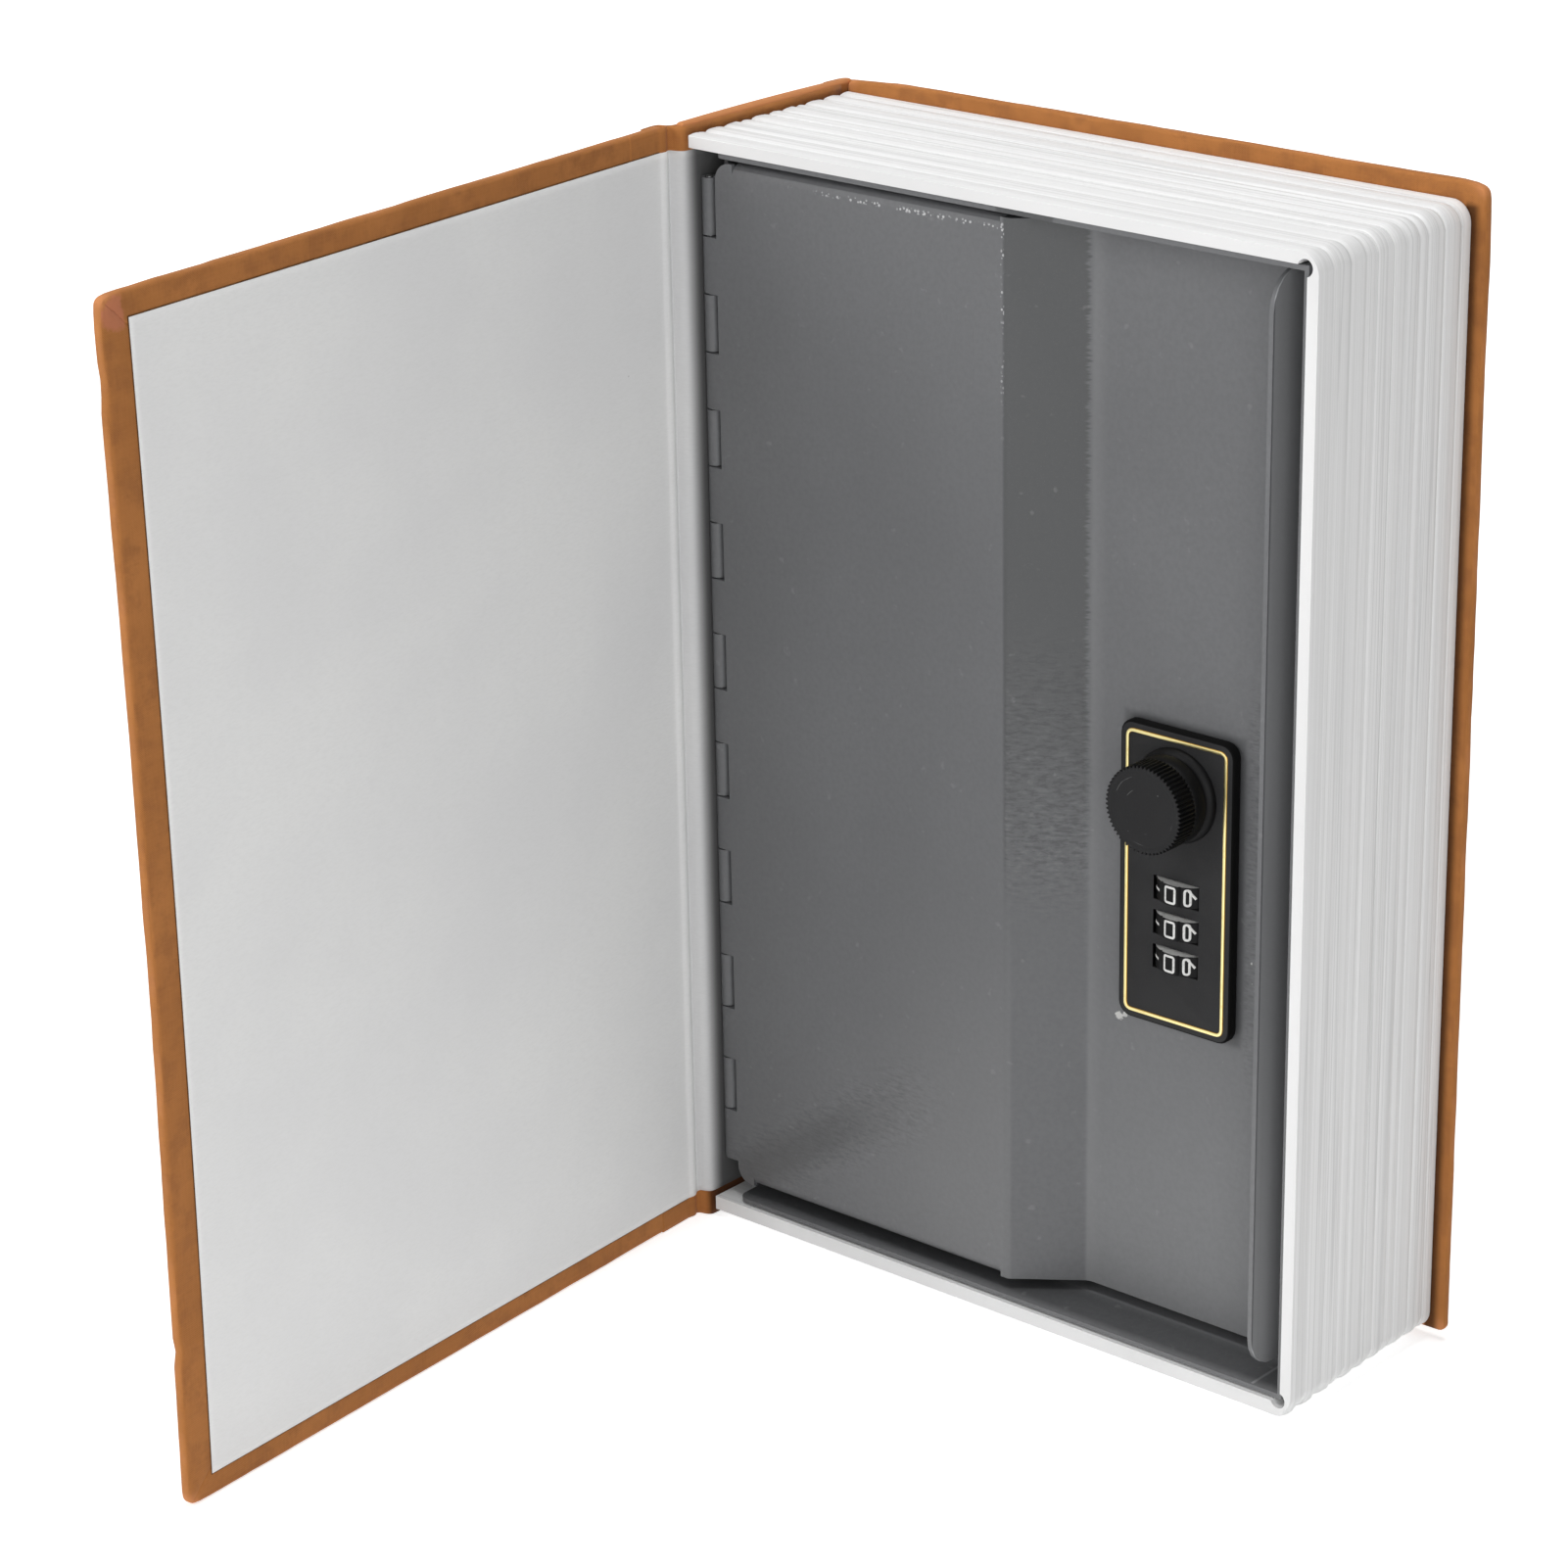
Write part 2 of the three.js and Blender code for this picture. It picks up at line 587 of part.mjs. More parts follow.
// Strike: an angle on the box's fore-edge wall whose lip the cam turns behind
function makeStrike() {
  const wall = BOX_RIGHT - SHEET - SEAT_GAP;
  const lipY = STRIKE_BACK - STRIKE_THICKNESS / 2;
  const legX = wall - STRIKE_THICKNESS / 2;
  const line = bentLine([
    [wall - STRIKE_LIP, lipY, 0],
    [legX, lipY, STRIKE_BEND_RADIUS],
    [legX, STRIKE_BACK + STRIKE_LEG, 0],
  ]);
  const low = KNOB_Z - STRIKE_HEIGHT / 2;
  const angle = upright(sheetOutline(line, STRIKE_THICKNESS), low, low + STRIKE_HEIGHT);
  return piece('strike', angle, greyCoat);
}

// What is left outside a round corner of radius r at the edge of a sheet, to be cut away.
// The corner is at (x, y) and the sheet lies on the (alongX, alongY) side of it.
function cornerWaste(x, y, alongX, alongY, radius) {
  const centreX = x + alongX * radius;
  const centreY = y + alongY * radius;
  const outline = [];
  for (let i = 0; i <= CORNER_STEPS; i += 1) {
    const angle = (Math.PI / 2) * (i / CORNER_STEPS);
    const px = centreX - alongX * radius * Math.cos(angle);
    const py = centreY - alongY * radius * Math.sin(angle);
    outline.push(new THREE.Vector2(px, py));
  }
  outline.push(new THREE.Vector2(centreX, y - alongY * OVERRUN));
  outline.push(new THREE.Vector2(x - alongX * OVERRUN, y - alongY * OVERRUN));
  outline.push(new THREE.Vector2(x - alongX * OVERRUN, centreY));
  return outline;
}

// Door: the return folded back along its top (up = 1) or tail (up = -1) edge, and the waste it replaces
function makeReturn(edge, up) {
  const left = DOOR_LEFT + RETURN_SETBACK;
  const middleY = DOOR_FACE + SHEET / 2;
  const start = edge - up * (SHEET + 2 * RETURN_BEND_RADIUS);
  const line = bentLine([
    [middleY, start, 0],
    [middleY, edge - (up * SHEET) / 2, RETURN_BEND_RADIUS],
    [DOOR_FACE + RETURN_DEPTH, edge - (up * SHEET) / 2, 0],
  ]);
  const right = SLOPE_CREST_X - CREST_BEND_RADIUS;
  const flange = sideways(sheetOutline(line, SHEET), left, right);
  const inner = Math.min(start, edge + up * OVERRUN);
  const outer = Math.max(start, edge + up * OVERRUN);
  const waste = block([left, DOOR_FACE - OVERRUN, inner], [right, DOOR_FACE + SHEET, outer]);
  return { flange, waste };
}

// Door: one folded sheet with knuckles along its left edge and openings for the lock
function makeDoorPanel() {
  const flatY = DOOR_FACE + SHEET / 2;
  const recessY = RECESS_FACE + SHEET / 2;
  const flangeX = (FLANGE_INNER_X + FLANGE_OUTER_X) / 2;
  const line = bentLine([
    [DOOR_LEFT, flatY, 0],
    [SLOPE_CREST_X, flatY, CREST_BEND_RADIUS],
    [SLOPE_FOOT_X, recessY, FOOT_BEND_RADIUS],
    [flangeX, recessY, FLANGE_BEND_RADIUS],
    [flangeX, BOX_FRONT, 0],
  ]);
  const sheet = upright(sheetOutline(line, SHEET), DOOR_TAIL, DOOR_TOP);
  const upper = makeReturn(DOOR_TOP, 1);
  const lower = makeReturn(DOOR_TAIL, -1);
  const flangeLeft = FLANGE_INNER_X - SHEET;
  const flangeRight = FLANGE_OUTER_X + SHEET;
  const trims = [
    level(cornerWaste(DOOR_LEFT, DOOR_TOP, 1, -1, DOOR_CORNER_RADIUS), DOOR_FACE - SHEET, RECESS_FACE),
    level(cornerWaste(DOOR_LEFT, DOOR_TAIL, 1, 1, DOOR_CORNER_RADIUS), DOOR_FACE - SHEET, RECESS_FACE),
    sideways(cornerWaste(BOX_FRONT, DOOR_TOP, 1, -1, FLANGE_CORNER_RADIUS), flangeLeft, flangeRight),
    sideways(cornerWaste(BOX_FRONT, DOOR_TAIL, 1, 1, FLANGE_CORNER_RADIUS), flangeLeft, flangeRight),
  ];
  const folded = carved(sheet, [], [upper.waste, lower.waste, ...trims]);
  const straps = [];
  for (let index = 1; index < KNUCKLE_COUNT; index += 2) {
    const [low, high] = knuckleSpan(index);
    straps.push(block([HINGE_X, DOOR_FACE, low], [DOOR_LEFT + SHEET, DOOR_FACE + SHEET, high]));
  }
  const bodyMiddle = (WHEEL_X + LOCK_X) / 2;
  const bodyLeft = bodyMiddle - BODY_WIDTH / 2;
  const bodyTail = LOCK_HEIGHT - BODY_HEIGHT / 2;
  const through = RECESS_FACE + SHEET + OVERRUN / 2;
  const lockHole = block(
    [bodyLeft - FIT_GAP, RECESS_FACE - OVERRUN, bodyTail - FIT_GAP],
    [bodyLeft + BODY_WIDTH + FIT_GAP, through, bodyTail + BODY_HEIGHT + FIT_GAP],
  );
  const screwHoles = plateScrewHeights().map((z) => levelRod(
    LOCK_X, z, PLATE_SCREW_RADIUS + FIT_GAP, RECESS_FACE - SHEET, through, SMALL_ROUND_STEPS,
  ));
  const joined = [upper.flange, lower.flange, ...straps, ...barrels(1)];
  return piece('door_panel', carved(folded, joined, [barrelBore(), lockHole, ...screwHoles]), greyCoat);
}

// Heights of the two screws that hold the plate
function plateScrewHeights() {
  const reach = PLATE_HEIGHT / 2 - PLATE_SCREW_INSET;
  return [LOCK_HEIGHT + reach, LOCK_HEIGHT - reach];
}

// Height of a wheel's middle, counted from the top
function wheelHeight(index) {
  return LOCK_HEIGHT + WHEEL_PLACE_SHARES[index] * PLATE_HEIGHT;
}

// Round pockets for the wheels; where they break the plate's face they leave its windows
function wheelPockets() {
  const pockets = [];
  const faceToAxle = WHEEL_Y - PLATE_FRONT;
  const radius = Math.hypot(WINDOW_WIDTH / 2, faceToAxle);
  for (let index = 0; index < WHEEL_COUNT; index += 1) {
    const z = wheelHeight(index);
    const low = z - WINDOW_HEIGHT / 2;
    pockets.push(uprightRod(WHEEL_X, WHEEL_Y, radius, low, low + WINDOW_HEIGHT, 2 * ROUND_STEPS));
  }
  return pockets;
}

// Lock plate with windows, a seat for the knob's spindle and blind holes for its screws
function makeLockPlate() {
  const left = LOCK_X - PLATE_WIDTH / 2;
  const bottom = LOCK_HEIGHT - PLATE_HEIGHT / 2;
  const slab = softSlab(
    left, bottom, left + PLATE_WIDTH, bottom + PLATE_HEIGHT,
    PLATE_FRONT, PLATE_BACK, PLATE_RADIUS, PLATE_EDGE_RADIUS,
  );
  const shaft = SPINDLE_RADIUS + FIT_GAP;
  const cuts = [
    ...wheelPockets(),
    levelRod(LOCK_X, KNOB_Z, shaft, PLATE_FRONT - OVERRUN, PLATE_BACK + OVERRUN, ROUND_STEPS),
  ];
  plateScrewHeights().forEach((z) => {
    const front = PLATE_BACK - PLATE_SCREW_BITE - FIT_GAP;
    const radius = PLATE_SCREW_RADIUS + FIT_GAP;
    cuts.push(levelRod(LOCK_X, z, radius, front, PLATE_BACK + OVERRUN, SMALL_ROUND_STEPS));
  });
  return piece('lock_plate', carved(slab, [], cuts), blackCoat);
}

// Gilt line: a thin raised frame inside the plate's edge
function makeLockTrim() {
  const left = LOCK_X - PLATE_WIDTH / 2 + TRIM_INSET;
  const bottom = LOCK_HEIGHT - PLATE_HEIGHT / 2 + TRIM_INSET;
  const right = LOCK_X + PLATE_WIDTH / 2 - TRIM_INSET;
  const top = LOCK_HEIGHT + PLATE_HEIGHT / 2 - TRIM_INSET;
  const radius = PLATE_RADIUS - TRIM_INSET;
  const innerRadius = radius - TRIM_WIDTH / 2;
  const shape = new THREE.Shape(roundedRectangle(left, bottom, right, top, radius));
  shape.holes.push(new THREE.Path(roundedRectangle(
    left + TRIM_WIDTH, bottom + TRIM_WIDTH, right - TRIM_WIDTH, top - TRIM_WIDTH, innerRadius,
  )));
  const ring = new THREE.ExtrudeGeometry(shape, { depth: TRIM_HEIGHT, bevelEnabled: false });
  ring.rotateX(Math.PI / 2).translate(0, PLATE_FRONT - SEAT_GAP / 2, 0);
  return piece('lock_trim', ring, gilt);
}

// Lock body: a block behind the door with the wheel pockets, the axle's bore and the spindle's bore
function makeLockBody() {
  const left = (WHEEL_X + LOCK_X) / 2 - BODY_WIDTH / 2;
  const bottom = LOCK_HEIGHT - BODY_HEIGHT / 2;
  const slab = softSlab(
    left, bottom, left + BODY_WIDTH, bottom + BODY_HEIGHT,
    BODY_FRONT, BODY_BACK, BODY_RADIUS, BODY_EDGE_RADIUS,
  );
  const shaft = SPINDLE_RADIUS + FIT_GAP;
  const axleTop = wheelHeight(0) + WHEEL_THICKNESS / 2 + AXLE_END + FIT_GAP;
  const cuts = [
    ...wheelPockets(),
    levelRod(LOCK_X, KNOB_Z, shaft, BODY_FRONT - OVERRUN, BODY_BACK + OVERRUN, ROUND_STEPS),
    uprightRod(WHEEL_X, WHEEL_Y, AXLE_RADIUS + FIT_GAP, bottom - OVERRUN, axleTop, SMALL_ROUND_STEPS),
  ];
  return piece('lock_body', carved(slab, [], cuts), blackPlastic);
}

// Upright axle that the wheels turn on
function makeWheelAxle() {
  const low = wheelHeight(WHEEL_COUNT - 1) - WHEEL_THICKNESS / 2 - AXLE_END;
  const high = wheelHeight(0) + WHEEL_THICKNESS / 2 + AXLE_END;
  const rod = uprightRod(WHEEL_X, WHEEL_Y, AXLE_RADIUS, low, high, SMALL_ROUND_STEPS);
  return piece('wheel_axle', rod, zincPlate);
}

// One combination wheel: a field for each digit, with a shallow notch between neighbours
function makeDigitWheel(index) {
  const fieldTurn = (2 * Math.PI) / DIGIT_COUNT;
  const notchTurn = WHEEL_NOTCH / WHEEL_RADIUS;
  const rim = (inset) => {
    const outline = [];
    for (let digit = 0; digit < DIGIT_COUNT; digit += 1) {
      const middle = digit * fieldTurn;
      const radius = WHEEL_RADIUS - inset;
      const edge = fieldTurn / 2 - notchTurn;
      const notch = middle + fieldTurn / 2;
      const notchRadius = radius - WHEEL_NOTCH;
      outline.push(...arc(0, 0, radius, middle - edge, middle + edge, DIGIT_FIELD_STEPS));
      outline.push(new THREE.Vector2(notchRadius * Math.cos(notch), notchRadius * Math.sin(notch)));
    }
    return outline;
  };
  const half = WHEEL_THICKNESS / 2;
  const disc = stackedRings([
    { outline: rim(WHEEL_EDGE), y: -half },
    { outline: rim(0), y: -half + WHEEL_EDGE },
    { outline: rim(0), y: half - WHEEL_EDGE },
    { outline: rim(WHEEL_EDGE), y: half },
  ]);
  const bore = levelRod(0, 0, AXLE_RADIUS + FIT_GAP, -half - OVERRUN, half + OVERRUN, SMALL_ROUND_STEPS);
  const wheel = carved(disc, [], [bore]).rotateX(Math.PI / 2);
  wheel.translate(WHEEL_X, WHEEL_Y, wheelHeight(index));
  return piece(`digit_wheel_${index + 1}`, wheel, blackPlastic);
}

// A screw with its head toward the back, seated at headFront
function screw(name, z, radius, tip, headFront, headRadius, headHeight) {
  const profile = [
    new THREE.Vector2(0, tip),
    new THREE.Vector2(radius, tip),
    new THREE.Vector2(radius, headFront),
    new THREE.Vector2(headRadius, headFront),
    new THREE.Vector2(headRadius, headFront + headHeight / 2),
    new THREE.Vector2((headRadius + radius) / 2, headFront + headHeight),
    new THREE.Vector2(0, headFront + headHeight),
  ];
  const turned = new THREE.LatheGeometry(profile, SMALL_ROUND_STEPS);
  return piece(name, turned.translate(LOCK_X, 0, z), zincPlate);
}

// Fixed collar on the plate that the knob turns in
function makeKnobCollar() {
  const bore = SPINDLE_RADIUS + FIT_GAP;
  const back = PLATE_FRONT - SEAT_GAP;
  const front = back - COLLAR_HEIGHT;
  const profile = [
    new THREE.Vector2(bore, front),
    new THREE.Vector2(KNOB_NECK_RADIUS, front),
    new THREE.Vector2((KNOB_NECK_RADIUS + COLLAR_RADIUS) / 2, front + COLLAR_RIM / 2),
    new THREE.Vector2(COLLAR_RADIUS, back - COLLAR_RIM),
    new THREE.Vector2(COLLAR_RADIUS, back),
    new THREE.Vector2(bore, back),
    new THREE.Vector2(bore, front),
  ];
  const turned = new THREE.LatheGeometry(profile, 2 * ROUND_STEPS);
  return piece('knob_collar', turned.translate(LOCK_X, 0, KNOB_Z), blackPlastic);
}

// Front and back of the knob
function knobSpan() {
  const back = PLATE_FRONT - SEAT_GAP - COLLAR_HEIGHT - FIT_GAP;
  return [PLATE_FRONT - KNOB_PROUD, back];
}

// Knob: a knurled band with a softened face edge, on a smooth neck that takes the spindle
function makeKnob() {
  const toothed = (crest, root) => {
    const outline = [];
    for (let i = 0; i < 2 * KNOB_TEETH; i += 1) {
      const angle = (Math.PI * i) / KNOB_TEETH;
      const radius = i % 2 === 0 ? crest : root;
      outline.push(new THREE.Vector2(LOCK_X + radius * Math.cos(angle), KNOB_Z + radius * Math.sin(angle)));
    }
    return outline;
  };
  const root = KNOB_RADIUS - KNURL_DEPTH;
  const [front, back] = knobSpan();
  const body = stackedRings([
    { outline: toothed(root - KNOB_EDGE, root - KNOB_EDGE), y: front },
    { outline: toothed(KNOB_RADIUS, root), y: front + KNOB_EDGE },
    { outline: toothed(KNOB_RADIUS, root), y: front + KNURL_LENGTH },
    { outline: toothed(KNOB_NECK_RADIUS, KNOB_NECK_RADIUS), y: front + KNURL_LENGTH + KNURL_DEPTH },
    { outline: toothed(KNOB_NECK_RADIUS, KNOB_NECK_RADIUS), y: back },
  ]);
  const seat = levelRod(
    LOCK_X, KNOB_Z, SPINDLE_RADIUS + SEAT_GAP, back - SPINDLE_SEAT - FIT_GAP, back + OVERRUN, ROUND_STEPS,
  );
  return piece('knob', carved(body, [], [seat]), blackPlastic);
}

// A round bar with two flats, in (x, z)
function flattedRound(radius, flats) {
  const lean = Math.asin(flats / 2 / radius);
  return [
    ...arc(LOCK_X, KNOB_Z, radius, -lean, lean, CORNER_STEPS),
    ...arc(LOCK_X, KNOB_Z, radius, Math.PI - lean, Math.PI + lean, CORNER_STEPS),
  ];
}

// Spindle: round through the lock, with two flats where it carries the cam, and a tapped end
function makeSpindle() {
  const [, knobBack] = knobSpan();
  const shoulder = CAM_FRONT - SEAT_GAP;
  const round = levelRod(LOCK_X, KNOB_Z, SPINDLE_RADIUS, knobBack - SPINDLE_SEAT, shoulder, ROUND_STEPS);
  const end = level(flattedRound(SPINDLE_RADIUS - SEAT_GAP, SPINDLE_FLATS), BODY_BACK, CAM_BACK);
  const tapped = levelRod(
    LOCK_X, KNOB_Z, CAM_SCREW_RADIUS + SEAT_GAP, CAM_BACK - CAM_SCREW_REACH - FIT_GAP,
    CAM_BACK + OVERRUN, SMALL_ROUND_STEPS,
  );
  return piece('spindle', carved(round, [end], [tapped]), zincPlate);
}

// Cam: a flat arm that hangs down when unlocked and turns up behind the strike's lip when locked
function makeCam() {
  const left = LOCK_X - CAM_WIDTH / 2;
  const right = LOCK_X + CAM_WIDTH / 2;
  const lean = Math.acos(CAM_WIDTH / 2 / CAM_HUB_RADIUS);
  const tip = KNOB_Z - CAM_LENGTH;
  const half = Math.PI / 2;
  const outline = [
    ...arc(LOCK_X, KNOB_Z, CAM_HUB_RADIUS, -lean, Math.PI + lean, ROUND_STEPS),
    ...arc(left + CAM_TIP_RADIUS, tip + CAM_TIP_RADIUS, CAM_TIP_RADIUS, 2 * half, 3 * half, CORNER_STEPS),
    ...arc(right - CAM_TIP_RADIUS, tip + CAM_TIP_RADIUS, CAM_TIP_RADIUS, -half, 0, CORNER_STEPS),
  ];
  const hole = level(flattedRound(SPINDLE_RADIUS + SEAT_GAP, SPINDLE_FLATS + 2 * SEAT_GAP),
    CAM_FRONT - OVERRUN, CAM_BACK + OVERRUN);
  return piece('cam', carved(level(outline, CAM_FRONT, CAM_BACK), [], [hole]), zincPlate);
}

// Washer behind the cam
function makeCamWasher() {
  const front = CAM_BACK + SEAT_GAP;
  const back = front + WASHER_THICKNESS;
  const disc = levelRod(LOCK_X, KNOB_Z, WASHER_RADIUS, front, back, ROUND_STEPS);
  const hole = levelRod(
    LOCK_X, KNOB_Z, CAM_SCREW_RADIUS + FIT_GAP, front - OVERRUN, back + OVERRUN, SMALL_ROUND_STEPS,
  );
  return piece('cam_washer', carved(disc, [], [hole]), zincPlate);
}

// Screw that holds washer and cam on the spindle
function makeCamScrew() {
  const seat = CAM_BACK + SEAT_GAP + WASHER_THICKNESS + SEAT_GAP;
  return screw(
    'cam_screw', KNOB_Z, CAM_SCREW_RADIUS, CAM_BACK - CAM_SCREW_REACH, seat,
    CAM_SCREW_HEAD_RADIUS, CAM_SCREW_HEAD,
  );
}

// The two screws that hold the plate from behind the door
function makePlateScrews() {
  const seat = RECESS_FACE + SHEET + SEAT_GAP;
  return plateScrewHeights().map((z, index) => screw(
    `plate_screw_${index + 1}`, z, PLATE_SCREW_RADIUS, PLATE_BACK - PLATE_SCREW_BITE, seat,
    PLATE_SCREW_HEAD_RADIUS, PLATE_SCREW_HEAD,
  ));
}

// Case: the boards, lining and joint cloth that stay still
function makeCase() {
  const group = new THREE.Group();
  group.add(makeBackBoard(), makeSpineBoard(), makeSpineLining(), makeJointCloth());
  return group;
}

// Everything that is carried by the door
function makeDoor() {
  const group = new THREE.Group();
  group.add(makeDoorPanel(), makeLockPlate(), makeLockTrim(), makeLockBody(), makeWheelAxle());
  group.add(makeKnobCollar(), ...makePlateScrews());
  group.add(makeKnob(), makeSpindle(), makeCam(), makeCamWasher(), makeCamScrew());
  for (let index = 0; index < WHEEL_COUNT; index += 1) {
    group.add(makeDigitWheel(index));
  }
  return group;
}

// Page frame, steel box and door, raised above the boards' tail edge
function makeBlock() {
  const group = new THREE.Group();
  group.add(makePageFrame(), makeBoxShell(), makeHingePin(), makeStrike(), makeDoor());
  group.position.z = TAIL_SQUARE;
  return group;
}

// The whole book; its origin is the middle of the back board's tail edge
const book = new THREE.Group();
book.add(makeCase(), makeCover(), makeBlock());
book.position.x = -(BACK_BOARD_LEFT + BOARD_FORE_EDGE) / 2;
book.position.y = -(BACK_BOARD_FRONT + BACK_BOARD_BACK) / 2;

export default book;
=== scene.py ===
# %% [markdown]
# # A book safe, dressed for its picture
# The real object is the case of a hardback with a steel box inside. The CAD pack holds its solids and
# its joints. This lesson leaves those solids where they are and builds what the eye needs round them:
# cloth that wraps the boards, paper that folds across the joint, page lines, a knurled knob, digits.
# Lengths are metres, +Z is up, and the front of the book looks toward -Y.

# %% Load the frame
import math

import json

import bmesh
import bpy
from bmesh.types import BMEdge, BMVert
from mathutils import Matrix, Vector, noise


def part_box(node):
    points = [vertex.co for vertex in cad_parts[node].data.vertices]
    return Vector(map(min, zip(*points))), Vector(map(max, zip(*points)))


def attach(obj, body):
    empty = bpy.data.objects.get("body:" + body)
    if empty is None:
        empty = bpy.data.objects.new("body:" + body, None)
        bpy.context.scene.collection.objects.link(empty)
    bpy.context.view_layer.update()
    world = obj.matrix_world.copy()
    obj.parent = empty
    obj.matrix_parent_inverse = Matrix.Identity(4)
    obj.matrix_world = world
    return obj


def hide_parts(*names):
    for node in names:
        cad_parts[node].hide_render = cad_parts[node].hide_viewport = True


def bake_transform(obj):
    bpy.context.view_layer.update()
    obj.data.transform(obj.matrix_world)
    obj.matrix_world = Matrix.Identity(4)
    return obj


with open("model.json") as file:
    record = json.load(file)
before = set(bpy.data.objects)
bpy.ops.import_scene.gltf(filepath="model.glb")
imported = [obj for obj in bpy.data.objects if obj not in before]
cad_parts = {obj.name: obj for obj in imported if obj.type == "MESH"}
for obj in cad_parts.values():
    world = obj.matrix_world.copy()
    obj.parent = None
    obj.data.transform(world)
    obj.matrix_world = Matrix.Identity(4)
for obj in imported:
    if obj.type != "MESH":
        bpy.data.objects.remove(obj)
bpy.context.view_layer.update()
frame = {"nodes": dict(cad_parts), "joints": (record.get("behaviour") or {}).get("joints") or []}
MM = 0.001
joints = {joint["name"]: joint for joint in frame["joints"]}


def add_object(name, data):
    """Puts a new object that shows the data into the scene."""
    made = bpy.data.objects.new(name, data)
    bpy.context.scene.collection.objects.link(made)
    return made


print("nodes:", len(frame["nodes"]), "joints:", sorted(joints))

# %% [markdown]
# The camera stands where the photographer stood: to the right, a little above, with a long lens. Its
# place comes from fitting the corners of the closed book, so it is written as a point and two angles.
# The lens shift keeps the object off centre, as in the photograph, without turning the camera.

# %% Camera
IMAGE_SIDE = 1601
CAMERA_POINT = Vector((540.40, -722.30, 447.01)) * MM
CAMERA_AZIMUTH = math.radians(40.032)
CAMERA_ELEVATION = math.radians(22.135)
CAMERA_ROLL = math.radians(-0.543)
FOCAL_PIXELS = 4803.4
OPTICAL_CENTRE_PIXELS = Vector((916.98, 904.41))


def make_camera():
    """A camera at the photograph's viewing angle."""
    back = Vector((
        math.sin(CAMERA_AZIMUTH) * math.cos(CAMERA_ELEVATION),
        -math.cos(CAMERA_AZIMUTH) * math.cos(CAMERA_ELEVATION),
        math.sin(CAMERA_ELEVATION),
    ))
    level_right = (-back).cross(Vector((0, 0, 1))).normalized()
    level_up = level_right.cross(-back)
    right = level_right * math.cos(CAMERA_ROLL) + level_up * math.sin(CAMERA_ROLL)
    up = level_up * math.cos(CAMERA_ROLL) - level_right * math.sin(CAMERA_ROLL)
    lens = bpy.data.cameras.new("photo_camera")
    lens.sensor_width = 36
    lens.lens = FOCAL_PIXELS / IMAGE_SIDE * lens.sensor_width
    lens.shift_x = 0.5 - OPTICAL_CENTRE_PIXELS.x / IMAGE_SIDE
    lens.shift_y = OPTICAL_CENTRE_PIXELS.y / IMAGE_SIDE - 0.5
    camera = add_object("photo_camera", lens)
    camera.matrix_world = Matrix.Translation(CAMERA_POINT) @ Matrix((right, up, back)).transposed().to_4x4()
    bpy.context.scene.camera = camera
    return camera


print("lens in mm:", round(make_camera().data.lens, 2))

# %% [markdown]
# Shader maths is easier to read as sums than as boxes and wires. One small class wraps a socket, so
# that `1 - mask` adds a Math node, and one method adds every other kind of node. The sky uses the plain
# node tree, while a finish also holds a Principled shader, whose sockets are set by name.


# %% Writing materials as Python
class Value:
    """A node's output, on which +, -, * and / add Math nodes."""

    def __init__(self, finish, socket):
        self.finish = finish
        self.socket = socket

    def math(self, operation, *others):
        return self.finish.sum(operation, self, *others)

    def __add__(self, other):
        return self.math("ADD", other)

    def __sub__(self, other):
        return self.math("SUBTRACT", other)

    def __mul__(self, other):
        return self.math("MULTIPLY", other)

    def __truediv__(self, other):
        return self.math("DIVIDE", other)

    def __rsub__(self, other):
        return self.finish.sum("SUBTRACT", other, self)

    __radd__ = __add__
    __rmul__ = __mul__


